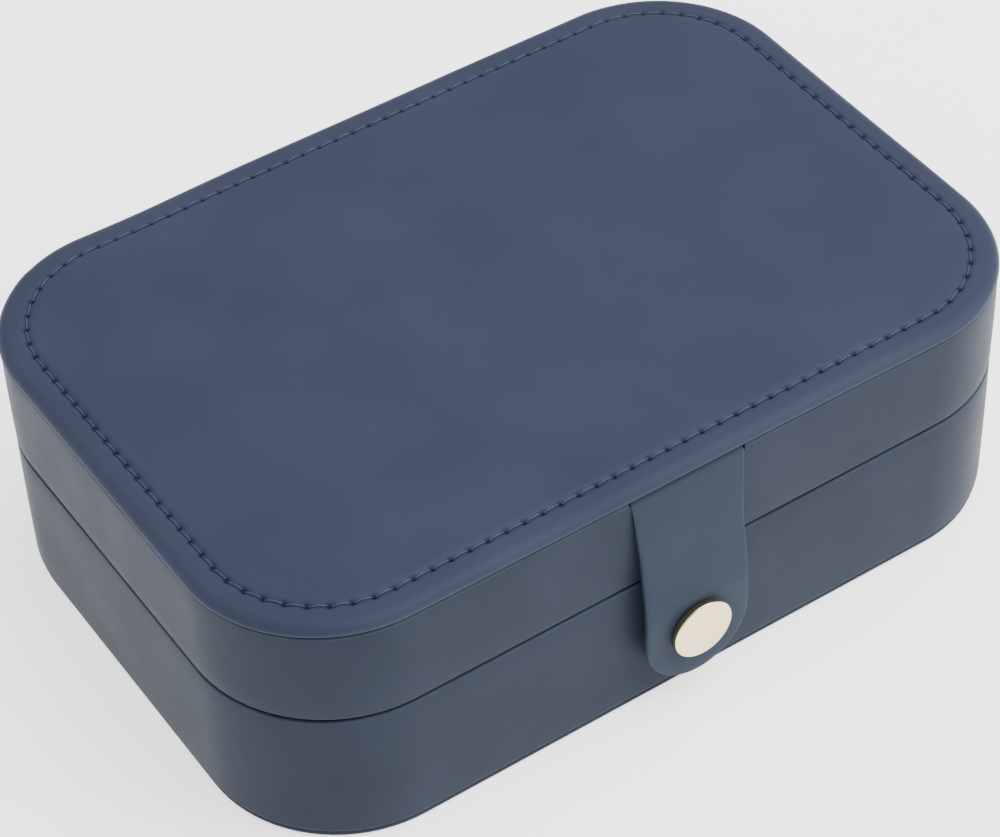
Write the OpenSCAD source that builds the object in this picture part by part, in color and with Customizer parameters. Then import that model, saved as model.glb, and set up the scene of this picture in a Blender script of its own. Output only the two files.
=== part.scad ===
// Leather jewellery case: a board tray and lid covered in leather, a padded top panel,
// a leather back that bends as the hinge, and a front strap closed by a press snap.
// X runs along the long side, the strap is on the -Y side and Z is up from the bottom face.

/* [Case] */
// Outside length of the case
case_w = 165; // [135:1:200]
// Outside depth of the case
case_d = 113; // [94:1:136]
// Outside radius of the upright corners
corner_r = 27; // [20:1:34]
// Height of the base, from the bottom face to its rim
base_h = 30.6; // [26:0.1:37]
// Height of the lid's wall, from its rim to the top panel
lid_wall_h = 20.4; // [17:0.1:26]
// Gap between the two rims when the lid is shut
rim_gap = 0.5; // [0.3:0.1:1]

/* [Wall layers] */
// Thickness of the covering leather
leather_t = 0.8; // [0.6:0.1:1]
// Thickness of the wall board
board_t = 2.4; // [2:0.1:3]
// Thickness of the suede lining
lining_t = 0.8; // [0.6:0.1:1]
// Thickness of the board that forms the tray's floor
floor_board_t = 2; // [1.6:0.1:2.5]

/* [Bottom panel] */
// Thickness of the bottom panel's leather
bottom_leather_t = 0.5; // [0.4:0.1:0.8]
// Thickness of the bottom panel's board
bottom_board_t = 1; // [0.8:0.1:1.5]
// Inset of the bottom panel from the wall
bottom_inset = 0.5; // [0.4:0.1:1.5]

/* [Top panel] */
// Thickness of the board under the padding
top_board_t = 1.2; // [1:0.1:1.6]
// Height of the panel at the end of its rounded edge
panel_edge_h = 2.3; // [2.2:0.1:3]
// Height of the panel at its middle
panel_crown_h = 3.4; // [3.2:0.1:5]
// Width of the panel's rounded edge
panel_round = 1.8; // [1.2:0.1:2]
// Distance over which the padding rises to full height
crown_run = 32; // [20:1:40]
// Distance of the stitching from the panel's edge
stitch_inset = 5.1; // [4.5:0.1:7]
// Width of the stitching thread
thread_w = 0.8; // [0.5:0.1:1]
// Depth of the groove that the thread is pulled into
thread_depth = 0.4; // [0.3:0.1:0.5]

/* [Strap] */
// Width of the strap
strap_w = 22; // [19:0.1:26]
// Thickness of the strap's outer leather
strap_leather_t = 0.8; // [0.6:0.1:1]
// Thickness of the strap's backing leather
strap_backing_t = 0.7; // [0.5:0.1:0.9]
// Gap between the strap and the lid's wall where it leaves the seam
strap_root_gap = 0.3; // [0.2:0.1:0.6]
// Height of the snap's centre above the bottom face
snap_z = 17; // [15:0.1:18]
// Distance of the centre of the strap's half-round end below the snap's centre
tip_drop = 0.6; // [0:0.1:1.5]
// Height above the snap's centre at which the strap is parallel to the wall
strap_flat_h = 9; // [8:0.5:10]
// Length of the strap's parallel stretch where it leaves the seam
strap_drop = 3; // [2:0.5:4]

/* [Snap] */
// Radius of the snap's cap
cap_r = 6.1; // [5.5:0.05:6.5]
// Thickness of the cap
cap_t = 1.3; // [1:0.1:1.6]
// Width of the cap's bevel
cap_bevel = 0.3; // [0.1:0.05:0.4]
// Radius of the cap's post
post_r = 1.5; // [1.2:0.05:1.6]
// Radius of the socket
socket_r = 5.5; // [5:0.1:6]
// Thickness of the socket
socket_t = 1.7; // [1.6:0.1:2]
// Thickness of the socket's floor
socket_floor_t = 0.35; // [0.3:0.05:0.45]
// Radius of the stud's flange
stud_flange_r = 5; // [4.5:0.1:5.5]
// Thickness of the stud's flange
stud_flange_t = 0.5; // [0.4:0.1:0.7]
// Radius of the stud's head
stud_head_r = 2.1; // [1.9:0.05:2.3]
// Radius of the stud's neck
stud_neck_r = 1.7; // [1.65:0.05:1.75]
// Radius of the rivet that holds the stud
rivet_r = 1.4; // [1.1:0.05:1.45]
// Radius of the rivet's flange
rivet_flange_r = 4; // [3.5:0.1:4.5]
// Thickness of the rivet's flange
rivet_flange_t = 0.5; // [0.4:0.1:0.8]
// Thickness of the socket's spring ring
spring_t = 0.3; // [0.2:0.05:0.35]
// Radial width of the socket's spring ring
spring_w = 0.9; // [0.6:0.1:1]
// Radial clearance between the stud and what it enters
snap_clear = 0.15; // [0.1:0.05:0.2]

/* [Ring rolls] */
// Number of ring rolls
roll_count = 8; // [6:1:10]
// Length of the rolls
roll_len = 56; // [40:1:60]
// Height of the rolls above the lining
roll_h = 18; // [15:0.5:21]
// Gap between two rolls
roll_gap = 0.5; // [0.3:0.1:1]
// Gap between the rolls and what stands around them
roll_clear = 0.4; // [0.3:0.1:1]

/* [Dividers] */
// Thickness of a divider
divider_t = 3; // [2:0.1:3.5]
// Height of a divider above the lining
divider_h = 20; // [15:0.5:21]
// Depth of the long compartment at the back
back_room_d = 46; // [38:1:52]

/* [Lid fittings] */
// Number of necklace hooks
hook_count = 5; // [3:1:6]
// Spacing of the hooks
hook_pitch = 19; // [17:0.5:20]
// Length of the leather strip that carries the hooks
hook_strip_l = 100; // [95:1:112]
// Width of the hook strip
hook_strip_w = 12; // [10:0.5:15]
// Thickness of the hook strip
hook_strip_t = 1.2; // [1:0.1:1.5]
// Distance of the strip's middle from the lid's front lining
hook_strip_in = 20; // [15:0.5:22]
// Length of a hook's stem
hook_stem_l = 4.2; // [3.5:0.1:4.5]
// Length of a hook's arm
hook_arm_l = 3.4; // [3:0.1:4.5]
// Radius of a hook's wire
hook_wire_r = 0.8; // [0.6:0.05:0.9]
// Width of the elastic pocket
pocket_w = 104; // [90:1:108]
// Depth of the pocket's cloth
pocket_d = 38; // [30:1:40]
// Distance of the pocket from the lid's back lining
pocket_back_in = 5; // [4:0.5:8]
// Room between the pocket's cloth and the lining
pocket_room = 3; // [2:0.1:3.5]
// Thickness of the pocket's cloth
pocket_t = 0.6; // [0.4:0.1:0.8]
// Width of the pocket's elastic hem
hem_w = 4; // [3:0.5:5]
// Thickness of the pocket's elastic hem
hem_t = 1.4; // [1:0.1:1.8]

/* [Hinge] */
// Distance of the back leather's edges from the upright corners
back_margin = 0.5; // [0.3:0.1:2]
// Distance by which the hinge lining is narrower than the back leather, at each end
hinge_lining_in = 3; // [2:0.5:6]
// Height of the hinge lining on each side of the rims
hinge_lining_h = 7; // [5:0.5:10]

/* [Hidden] */
$fn = 64;
hull_fn = 32;
bottom_t = bottom_leather_t + bottom_board_t;
cover_t = leather_t + board_t;
wall_t = cover_t + lining_t;
inner_w = case_w - 2 * wall_t;
inner_d = case_d - 2 * wall_t;
floor_z = bottom_t + floor_board_t + lining_t;
lid_z = base_h + rim_gap;
panel_z = lid_z + lid_wall_h;
ceiling_z = panel_z - lining_t;
front_y = -case_d / 2;
back_w = case_w - 2 * corner_r - 2 * back_margin;
hinge_lining_w = back_w - 2 * hinge_lining_in;

strap_t = strap_leather_t + strap_backing_t;
strap_axis_off = strap_root_gap + strap_t / 2;
strap_axis_z = panel_z - strap_t / 2;
socket_off = stud_flange_t + snap_clear;
strap_snap_gap = socket_off + socket_t;
bore_r = stud_head_r + snap_clear;
head_top = strap_snap_gap - socket_floor_t - snap_clear;
head_h = 0.65;
neck_top = head_top - head_h;
spring_in_r = stud_neck_r + snap_clear;
spring_off = socket_off + 0.2;
groove_clear = 0.05;
rivet_tip = 0.85;

stitch_run = (stitch_inset - panel_round) / crown_run;
stitch_h = panel_edge_h + (panel_crown_h - panel_edge_h) * (1 - pow(1 - stitch_run, 2));
foam_side_h = 0.1;
tray_x1 = inner_w / 2 - roll_clear;
tray_x0 = tray_x1 - roll_len;
cross_x1 = tray_x0 - roll_clear;
cross_x0 = cross_x1 - divider_t;
long_y1 = inner_d / 2 - back_room_d;
long_y0 = long_y1 - divider_t;
short_x = (cross_x0 - inner_w / 2) / 2;
roll_pitch = (inner_d - 2 * roll_clear + roll_gap) / roll_count;
roll_w = roll_pitch - roll_gap;

hook_y = -inner_d / 2 + hook_strip_in;
hook_z = ceiling_z - hook_strip_t;
hook_base_h = 0.6;
pocket_y1 = inner_d / 2 - pocket_back_in;
pocket_y0 = pocket_y1 - pocket_d;
pocket_z = ceiling_z - pocket_room - pocket_t;

// Rounded outline of the case, drawn in by a distance all round.
module outline(inset = 0, fn = $fn) {
    w = case_w - 2 * inset;
    d = case_d - 2 * inset;
    r = max(corner_r - inset, 1);
    square([w - 2 * r, d], center = true);
    square([w, d - 2 * r], center = true);
    for (sx = [-1, 1], sy = [-1, 1])
        translate([sx * (w / 2 - r), sy * (d / 2 - r)]) circle(r, $fn = fn);
}

// Solid plate with the case's outline between two heights.
module plate(inset, z0, z1) {
    translate([0, 0, z0]) linear_extrude(z1 - z0) outline(inset);
}

// Upright wall between two insets and two heights.
module wall(outer, inner, z0, z1) {
    translate([0, 0, z0]) linear_extrude(z1 - z0) difference() {
        outline(outer);
        outline(inner);
    }
}

// One layer of a domed plate, with the case's outline drawn in by a distance.
module pad_layer(inset, z0, z1) {
    translate([0, 0, z0]) linear_extrude(z1 - z0) outline(inset, hull_fn);
}

// Domed plate: an upright side, a rounded shoulder and a crown that rises to full height.
module pad(inset, z_low, z_side, z_edge, z_crown) {
    hull() {
        for (a = [0 : 15 : 75])
            pad_layer(inset + panel_round * (1 - cos(a)), z_low, z_side + (z_edge - z_side) * sin(a));
        for (k = [0 : 0.25 : 1])
            pad_layer(
                inset + panel_round + crown_run * k,
                z_low,
                z_edge + (z_crown - z_edge) * (1 - pow(1 - k, 2))
            );
    }
}

// Turns a shape's +Z so that it points out of the case's front wall, off the wall by a distance.
module on_front(z, off) {
    translate([0, front_y - off, z]) rotate([90, 0, 0]) children();
}

// Extrudes a Y-Z profile along X.
module along_x(x0, x1) {
    translate([x0, 0, 0]) rotate([90, 0, 90]) linear_extrude(x1 - x0) children();
}

// Tube or, with no inner radius, a disc.
module ring(r_out, r_in, h) {
    difference() {
        cylinder(r = r_out, h = h);
        translate([0, 0, -1]) cylinder(r = r_in, h = h + 2);
    }
}

// Holes that the stud's rivet needs in the front wall.
module rivet_hole() {
    on_front(snap_z, -cover_t - 1) cylinder(r = rivet_r + groove_clear, h = cover_t + 2);
}

// Slot in the lid's front wall that the strap's end is glued into.
module strap_slot() {
    translate([-strap_w / 2, front_y - 1, panel_z - strap_t]) cube([strap_w, cover_t + 1, strap_t + 1]);
}

// Window in the wall leathers that the back leather fills.
module back_window() {
    translate([-back_w / 2, case_d / 2 - leather_t, -1]) cube([back_w, leather_t + 1, panel_z + 2]);
}

// Space of the hinge lining, a window through the linings of the base and the lid.
module hinge_lining_block() {
    translate([-hinge_lining_w / 2, inner_d / 2, base_h - hinge_lining_h])
        cube([hinge_lining_w, lining_t, 2 * hinge_lining_h + rim_gap]);
}

module bottom_leather() {
    color("#3b465c") difference() {
        plate(bottom_inset, 0, bottom_t);
        plate(bottom_inset + bottom_leather_t, bottom_leather_t, bottom_t + 1);
    }
}

module bottom_board() {
    color("#8a7a66") plate(bottom_inset + bottom_leather_t, bottom_leather_t, bottom_t);
}

module base_wall_board() {
    color("#8a7a66") difference() {
        wall(leather_t, cover_t, bottom_t, base_h - leather_t);
        rivet_hole();
        on_front(snap_z, -cover_t - 1) cylinder(r = rivet_flange_r + 0.1, h = rivet_flange_t + 1);
    }
}

module base_floor_board() {
    color("#8a7a66") plate(cover_t, bottom_t, bottom_t + floor_board_t);
}

module base_wall_leather() {
    color("#515a69") difference() {
        union() {
            wall(0, leather_t, bottom_t, base_h);
            wall(leather_t / 2, cover_t, base_h - leather_t, base_h);
        }
        rivet_hole();
        back_window();
    }
}

module base_lining() {
    color("#b9b2a8") difference() {
        plate(cover_t, bottom_t + floor_board_t, base_h);
        plate(wall_t, floor_z, base_h + 1);
        hinge_lining_block();
    }
}

// One ring roll: a foam bar with a round top, cut to the tray's rounded outline.
module ring_roll(i) {
    y = -inner_d / 2 + roll_clear + roll_pitch * (i - 1) + roll_w / 2;
    color("#c7c0b5") intersection() {
        along_x(tray_x0, tray_x1) translate([y, floor_z]) {
            translate([-roll_w / 2, 0]) square([roll_w, roll_h - roll_w / 2]);
            translate([0, roll_h - roll_w / 2]) circle(roll_w / 2);
        }
        plate(wall_t + roll_clear, floor_z, base_h);
    }
}

module cross_divider() {
    color("#b9b2a8") translate([cross_x0, -inner_d / 2, floor_z]) cube([divider_t, inner_d, divider_h]);
}

module long_divider() {
    color("#b9b2a8") translate([-inner_w / 2, long_y0, floor_z])
        cube([cross_x0 + inner_w / 2, divider_t, divider_h]);
}

module short_divider() {
    color("#b9b2a8") translate([short_x - divider_t / 2, -inner_d / 2, floor_z])
        cube([divider_t, long_y0 + inner_d / 2, divider_h]);
}

module snap_stud() {
    color("#d8cdb6") on_front(snap_z, 0) difference() {
        union() {
            cylinder(r = stud_flange_r, h = stud_flange_t);
            cylinder(r = stud_neck_r, h = head_top);
            translate([0, 0, neck_top]) cylinder(r = stud_head_r, h = head_h);
        }
        translate([0, 0, -1]) cylinder(r = rivet_r + groove_clear, h = 1 + rivet_tip + groove_clear);
    }
}

module stud_rivet() {
    color("#d8cdb6") on_front(snap_z, -cover_t) {
        cylinder(r = rivet_flange_r, h = rivet_flange_t);
        cylinder(r = rivet_r, h = cover_t + rivet_tip);
    }
}

module lid_wall_board() {
    color("#8a7a66") difference() {
        wall(leather_t, cover_t, lid_z + leather_t, panel_z);
        strap_slot();
    }
}

module lid_wall_leather() {
    color("#515a69") difference() {
        union() {
            wall(0, leather_t, lid_z, panel_z);
            wall(leather_t / 2, cover_t, lid_z, lid_z + leather_t);
        }
        strap_slot();
        back_window();
    }
}

module lid_top_board() {
    color("#8a7a66") plate(leather_t, panel_z, panel_z + top_board_t);
}

// The padding's dome, from the top of the board upwards.
module foam_dome() {
    translate([0, 0, panel_z]) pad(
        leather_t,
        top_board_t,
        top_board_t + foam_side_h,
        panel_edge_h - leather_t,
        panel_crown_h - leather_t
    );
}

module lid_top_foam() {
    color("#d9d4c4") foam_dome();
}

// Groove and thread of the stitching, a band around the top panel.
module stitch_band(z0, z1) {
    wall(stitch_inset - thread_w / 2, stitch_inset + thread_w / 2, panel_z + z0, panel_z + z1);
}

module lid_top_leather() {
    color("#4b5a70") difference() {
        translate([0, 0, panel_z]) pad(0, 0, leather_t, panel_edge_h, panel_crown_h);
        plate(leather_t, panel_z - 1, panel_z + top_board_t);
        foam_dome();
        stitch_band(stitch_h - thread_depth, panel_crown_h + 1);
    }
}

module lid_stitching() {
    color("#3d4f86") stitch_band(stitch_h - thread_depth, stitch_h);
}

module lid_lining() {
    color("#b9b2a8") difference() {
        plate(cover_t, lid_z, panel_z);
        plate(wall_t, lid_z - 1, ceiling_z);
        hinge_lining_block();
    }
}

module hook_strip() {
    color("#515a69") translate([-hook_strip_l / 2, hook_y - hook_strip_w / 2, hook_z])
        cube([hook_strip_l, hook_strip_w, hook_strip_t]);
}

// One necklace hook: a riveted foot, a stem, and an arm that points to the lid's front.
module necklace_hook(i) {
    x = (i - (hook_count + 1) / 2) * hook_pitch;
    tip_r = hook_wire_r + 0.25;
    color("#d8cdb6") translate([x, hook_y, hook_z]) {
        translate([0, 0, -hook_base_h]) cylinder(r = 2.4, h = hook_base_h);
        translate([0, 0, -hook_stem_l]) cylinder(r = hook_wire_r, h = hook_stem_l);
        translate([0, 0, -hook_stem_l]) sphere(hook_wire_r);
        translate([0, 0, -hook_stem_l]) rotate([90, 0, 0]) cylinder(r = hook_wire_r, h = hook_arm_l);
        translate([0, -hook_arm_l, -hook_stem_l]) sphere(tip_r);
    }
}

// Pocket of lining cloth, closed at the back and both ends, open towards the lid's front.
module pocket_cloth() {
    color("#b9b2a8") difference() {
        translate([-pocket_w / 2, pocket_y0 - hem_w, pocket_z])
            cube([pocket_w, pocket_d + hem_w, pocket_t + pocket_room]);
        translate([-pocket_w / 2 + pocket_t, pocket_y0 - hem_w - 1, pocket_z + pocket_t])
            cube([pocket_w - 2 * pocket_t, pocket_d + hem_w + 1 - pocket_t, pocket_room + 1]);
        translate([-pocket_w / 2 + pocket_t, pocket_y0 - hem_w - 1, pocket_z - 1])
            cube([pocket_w - 2 * pocket_t, hem_w + 1, pocket_room + 2]);
    }
}

module pocket_hem() {
    hem_z = pocket_z + pocket_t / 2 - hem_t / 2;
    color("#a49c91") translate([-pocket_w / 2 + pocket_t, pocket_y0 - hem_w, hem_z])
        cube([pocket_w - 2 * pocket_t, hem_w, hem_t]);
}

module strap_root() {
    color("#515a69") translate([-strap_w / 2, front_y, panel_z - strap_t])
        cube([strap_w, cover_t, strap_t]);
}

module back_leather() {
    color("#515a69") translate([-back_w / 2, case_d / 2 - leather_t, bottom_t])
        cube([back_w, leather_t, panel_z - bottom_t]);
}

module hinge_lining() {
    color("#b9b2a8") hinge_lining_block();
}

// Side profile of one strap layer: down from the seam, out to the snap, then down along it.
module strap_profile(inner, outer, top_z) {
    flat_z = snap_z + strap_flat_h;
    drop_z = panel_z - strap_t - strap_drop;
    end_z = snap_z - tip_drop - strap_w / 2 - 1;
    polygon([
        [front_y - strap_root_gap - inner, top_z],
        [front_y - strap_root_gap - inner, drop_z],
        [front_y - strap_snap_gap - inner, flat_z],
        [front_y - strap_snap_gap - inner, end_z],
        [front_y - strap_snap_gap - outer, end_z],
        [front_y - strap_snap_gap - outer, flat_z],
        [front_y - strap_root_gap - outer, drop_z],
        [front_y - strap_root_gap - outer, top_z]
    ]);
}

// Full-thickness turn at the top of the strap, round about the axis that it swings on.
module strap_bead() {
    translate([front_y - strap_axis_off, strap_axis_z]) {
        circle(strap_t / 2);
        translate([-strap_t / 2, -strap_t / 2]) square([strap_t, strap_t / 2]);
    }
}

// Front outline of the strap, straight sides and a half-round end, as deep as it needs to be.
module strap_outline() {
    on_front(0, -1) linear_extrude(20) {
        tip_z = snap_z - tip_drop;
        translate([-strap_w / 2, tip_z]) square([strap_w, panel_z + 1 - tip_z]);
        translate([0, tip_z]) circle(strap_w / 2);
    }
}

module post_hole() {
    on_front(snap_z, 0) cylinder(r = post_r + groove_clear, h = 20);
}

module strap_leather() {
    color("#515d6d") difference() {
        intersection() {
            union() {
                along_x(-strap_w, strap_w) strap_profile(strap_backing_t, strap_t, strap_axis_z);
                along_x(-strap_w, strap_w) strap_bead();
            }
            strap_outline();
        }
        post_hole();
    }
}

module strap_backing() {
    color("#46505f") difference() {
        intersection() {
            along_x(-strap_w, strap_w) strap_profile(0, strap_backing_t, strap_axis_z - strap_t / 2);
            strap_outline();
        }
        post_hole();
    }
}

module snap_cap() {
    color("#e6dfcb") {
        on_front(snap_z, strap_snap_gap + strap_t) rotate_extrude() polygon([
            [0, 0],
            [cap_r, 0],
            [cap_r, cap_t - cap_bevel],
            [cap_r - cap_bevel, cap_t],
            [0, cap_t]
        ]);
        on_front(snap_z, strap_snap_gap - socket_floor_t + groove_clear)
            cylinder(r = post_r, h = strap_t + socket_floor_t);
    }
}

module snap_socket() {
    color("#d8cdb6") on_front(snap_z, socket_off) difference() {
        cylinder(r = socket_r, h = socket_t);
        translate([0, 0, -1]) cylinder(r = bore_r, h = socket_t - socket_floor_t + 1);
        cylinder(r = post_r + groove_clear, h = socket_t + 1);
        translate([0, 0, spring_off - socket_off - groove_clear])
            cylinder(r = spring_in_r + spring_w + groove_clear, h = spring_t + 2 * groove_clear);
    }
}

// Split ring that grips the stud's neck.
module snap_spring() {
    split_w = 0.8;
    color("#b8b2a4") on_front(snap_z, spring_off) difference() {
        ring(spring_in_r + spring_w, spring_in_r, spring_t);
        translate([-split_w / 2, 0, -1]) cube([split_w, socket_r, spring_t + 2]);
    }
}

bottom_leather();
bottom_board();
base_wall_board();
base_floor_board();
base_wall_leather();
base_lining();
cross_divider();
long_divider();
short_divider();
snap_stud();
stud_rivet();
for (i = [1 : roll_count])
    ring_roll(i);
lid_wall_board();
lid_wall_leather();
lid_top_board();
lid_top_foam();
lid_top_leather();
lid_stitching();
lid_lining();
hook_strip();
for (i = [1 : hook_count])
    necklace_hook(i);
pocket_cloth();
pocket_hem();
strap_root();
back_leather();
hinge_lining();
strap_leather();
strap_backing();
snap_cap();
snap_socket();
snap_spring();
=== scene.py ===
"""Looks of the leather jewellery case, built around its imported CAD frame.

Meshes are modelled in millimetres and written in metres. X runs along the long side, the
strap is on the -Y side and Z is up from the bottom face.
"""
import logging
import math
from collections.abc import Callable, Iterable
from dataclasses import dataclass, field
from enum import Enum

import bmesh
import bpy
from bmesh.types import BMEdge, BMesh, BMVert
from bpy.types import NodeSocket, NodeTree, Object
from mathutils import Matrix, Quaternion, Vector, noise


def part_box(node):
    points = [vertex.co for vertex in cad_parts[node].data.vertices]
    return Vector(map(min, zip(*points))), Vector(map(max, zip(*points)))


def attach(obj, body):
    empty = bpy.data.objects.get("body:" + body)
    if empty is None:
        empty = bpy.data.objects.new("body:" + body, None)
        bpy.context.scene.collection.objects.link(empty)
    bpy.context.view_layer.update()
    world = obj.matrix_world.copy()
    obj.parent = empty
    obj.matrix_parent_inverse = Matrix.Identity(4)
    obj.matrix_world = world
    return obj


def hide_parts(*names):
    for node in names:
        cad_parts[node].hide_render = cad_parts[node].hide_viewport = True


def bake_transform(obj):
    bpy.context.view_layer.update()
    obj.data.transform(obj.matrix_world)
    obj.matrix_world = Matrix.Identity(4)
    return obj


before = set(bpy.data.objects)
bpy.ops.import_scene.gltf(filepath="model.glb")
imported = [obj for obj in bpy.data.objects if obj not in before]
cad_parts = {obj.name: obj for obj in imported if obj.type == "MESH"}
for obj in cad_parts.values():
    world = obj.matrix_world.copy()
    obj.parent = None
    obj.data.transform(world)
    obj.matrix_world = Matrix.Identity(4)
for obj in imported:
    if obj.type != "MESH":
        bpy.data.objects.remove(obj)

LOG = logging.getLogger("jewellery_case")
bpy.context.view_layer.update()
MM = 0.001
QUARTER = math.pi / 2
# Angle between two faces, in radians, from which their edge counts as sharp.
SHARP = 1.0
# Inset of the innermost ring of a shell, beyond which its face is flat.
CORE = 20.0


class Body(Enum):
    """Bodies of the case that a piece can ride on."""

    BASE = "base"
    LID = "lid"
    STRAP = "strap"


class Slot(Enum):
    """Material slots of the record."""

    LEATHER = "leather_navy"
    BOARD = "greyboard"
    SUEDE = "suede_lining"
    VELVET = "ring_velvet"
    FOAM = "padding_foam"
    THREAD = "thread_blue"
    ELASTIC = "elastic_band"
    NICKEL = "snap_nickel"
    SPRING = "spring_steel"


# ---------------------------------------------------------------- finishes


def linear(hex_colour: str) -> tuple[float, float, float, float]:
    """Turns an sRGB colour into the linear one that a shader takes.

    Args:
        hex_colour: The colour as "#rrggbb".
    Returns:
        Red, green, blue and alpha.
    """
    parts = [int(hex_colour[i : i + 2], 16) / 255 for i in (1, 3, 5)]
    return tuple(c / 12.92 if c <= 0.04045 else ((c + 0.055) / 1.055) ** 2.4 for c in parts) + (1.0,)


def per_mm(size_mm: float) -> float:
    """Scale of a texture whose cells are size_mm wide, on coordinates in metres."""
    return 1 / (size_mm * MM)


def add_node(
    tree: NodeTree,
    kind: str,
    settings: dict[str, object] | None = None,
    inputs: dict[int | str, object] | None = None,
) -> bpy.types.Node:
    """Adds a node, with its settings, values and links.

    Args:
        tree: The material's node tree.
        kind: Blender's name of the node's type.
        settings: The node's own properties.
        inputs: A value for an input, or an output socket to link to it.
    Returns:
        The node.
    """
    node = tree.nodes.new(kind)
    for name, value in (settings or {}).items():
        setattr(node, name, value)
    for name, value in (inputs or {}).items():
        if isinstance(value, NodeSocket):
            tree.links.new(value, node.inputs[name])
        else:
            node.inputs[name].default_value = value
    return node


def cloud(tree: NodeTree, place: NodeSocket, size_mm: float, detail: float) -> NodeSocket:
    """Soft random pattern.

    Args:
        tree: The material's node tree.
        place: The coordinates, in metres.
        size_mm: Width of its patches.
        detail: How much finer pattern it holds.
    Returns:
        Its value, mostly from 0.3 to 0.7.
    """
    return add_node(tree, "ShaderNodeTexNoise", None,
                    {"Vector": place, "Scale": per_mm(size_mm), "Detail": detail}).outputs["Fac"]


def between(tree: NodeTree, value: NodeSocket, low: float, high: float) -> NodeSocket:
    """Stretches a pattern.

    Args:
        tree: The material's node tree.
        value: The pattern, mostly from 0.3 to 0.7.
        low: What 0.3 becomes.
        high: What 0.7 becomes.
    Returns:
        The stretched value.
    """
    return add_node(tree, "ShaderNodeMapRange", None,
                    {"Value": value, "From Min": 0.3, "From Max": 0.7, "To Min": low, "To Max": high}
                    ).outputs["Result"]


@dataclass(frozen=True)
class Finish:
    """A material, from its colours, its surface values and the pattern that bump comes from.

    mottle_mm is the width of its colour patches, grain_mm of its finest pattern, and relief_mm
    the depth that the pattern shades like.
    """

    name: str
    dark: str
    light: str
    rough: float
    rough_spread: float = 0.05
    mottle_mm: float = 18.0
    grain_mm: float = 0.45
    relief_mm: float = 0.02
    metallic: float = 0.0
    specular: float = 0.5
    sheen: float = 0.0
    sheen_rough: float = 0.4

    def mottle(self, tree: NodeTree, place: NodeSocket) -> NodeSocket:
        """Colour patches between the dark and the light colour.

        Args:
            tree: The material's node tree.
            place: The object's own coordinates.
        Returns:
            The colour.
        """
        ramp = add_node(tree, "ShaderNodeValToRGB", None, {"Fac": cloud(tree, place, self.mottle_mm, 3)})
        ramp.color_ramp.elements[0].position = 0.3
        ramp.color_ramp.elements[0].color = linear(self.dark)
        ramp.color_ramp.elements[1].position = 0.7
        ramp.color_ramp.elements[1].color = linear(self.light)
        return ramp.outputs["Color"]

    def height(self, tree: NodeTree, place: NodeSocket) -> NodeSocket:
        """Height of the surface's pattern, from 0 to 1."""
        return cloud(tree, place, self.grain_mm, 2)

    def colour(self, tree: NodeTree, place: NodeSocket, height: NodeSocket) -> NodeSocket:
        """Final colour, which a finish with more in it than patches builds on.

        Args:
            tree: The material's node tree.
            place: The object's own coordinates.
            height: Height of the surface's pattern, from 0 to 1.
        Returns:
            The colour.
        """
        return self.mottle(tree, place)

    def material(self) -> bpy.types.Material:
        """Builds the material once, and returns it."""
        made = bpy.data.materials.get(self.name)
        if made:
            return made
        made = bpy.data.materials.new(self.name)
        made.use_nodes = True
        tree = made.node_tree
        shader = tree.nodes["Principled BSDF"]
        place = add_node(tree, "ShaderNodeTexCoord").outputs["Object"]
        height = self.height(tree, place)
        tree.links.new(self.colour(tree, place, height), shader.inputs["Base Color"])
        polish = between(tree, cloud(tree, place, self.mottle_mm * 0.6, 2),
                         self.rough - self.rough_spread, self.rough + self.rough_spread)
        tree.links.new(polish, shader.inputs["Roughness"])
        bump = add_node(tree, "ShaderNodeBump", None,
                        {"Height": height, "Strength": 1.0, "Distance": self.relief_mm * MM})
        tree.links.new(bump.outputs["Normal"], shader.inputs["Normal"])
        for socket, value in (("Metallic", self.metallic), ("Specular IOR Level", self.specular),
                              ("Sheen Weight", self.sheen), ("Sheen Roughness", self.sheen_rough)):
            shader.inputs[socket].default_value = value
        return made


@dataclass(frozen=True)
class CoatedLeather(Finish):
    """PU-coated leather, embossed with a very fine pebble: a dark blue with a dull, even sheen.

    The first of its two named attributes paints shade: the leather turns near black where it is high, in the
    needle holes and under the panel's turned lip. The second paints it lighter: a painted highlight along the
    panel's lip and the walls' rims, where they catch light, and a lighter tone along the strap's cut edges.
    """

    # Attribute and colour of the painted shade; attribute and colour of the painted highlight on the panel
    # and walls, which on the strap is its lighter cut edge.
    painted_shade: str = ""
    painted_shade_colour: str = "#05070c"
    edge_highlight_and_tone: str = ""
    edge_highlight_and_tone_colour: str = "#3c4657"

    def height(self, tree: NodeTree, place: NodeSocket) -> NodeSocket:
        """Pebbles with soft valleys, and the slower unevenness of the backing cloth."""
        pebble = add_node(tree, "ShaderNodeTexVoronoi", {"feature": "SMOOTH_F1"},
                          {"Vector": place, "Scale": per_mm(self.grain_mm), "Smoothness": 0.6})
        cloth = cloud(tree, place, self.grain_mm * 7, 3)
        return add_node(tree, "ShaderNodeMath", {"operation": "MULTIPLY_ADD"},
                        {0: cloth, 1: 1.6, 2: pebble.outputs["Distance"]}).outputs[0]

    def colour(self, tree: NodeTree, place: NodeSocket, height: NodeSocket) -> NodeSocket:
        """Patches, with the marks that the mesh carries: painted shade, painted highlights and lighter cut
        edges.

        Args:
            tree: The material's node tree.
            place: The object's own coordinates.
            height: Height of the surface's pattern, which this finish doesn't colour.
        Returns:
            The colour.
        """
        tone = self.mottle(tree, place)
        for attribute, colour in ((self.painted_shade, self.painted_shade_colour), (self.edge_highlight_and_tone, self.edge_highlight_and_tone_colour)):
            if attribute:
                marks = add_node(tree, "ShaderNodeAttribute", {"attribute_name": attribute})
                tone = add_node(tree, "ShaderNodeMix", {"data_type": "RGBA"},
                                {0: marks.outputs["Fac"], 6: tone, 7: linear(colour)}).outputs[2]
        return tone


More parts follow.
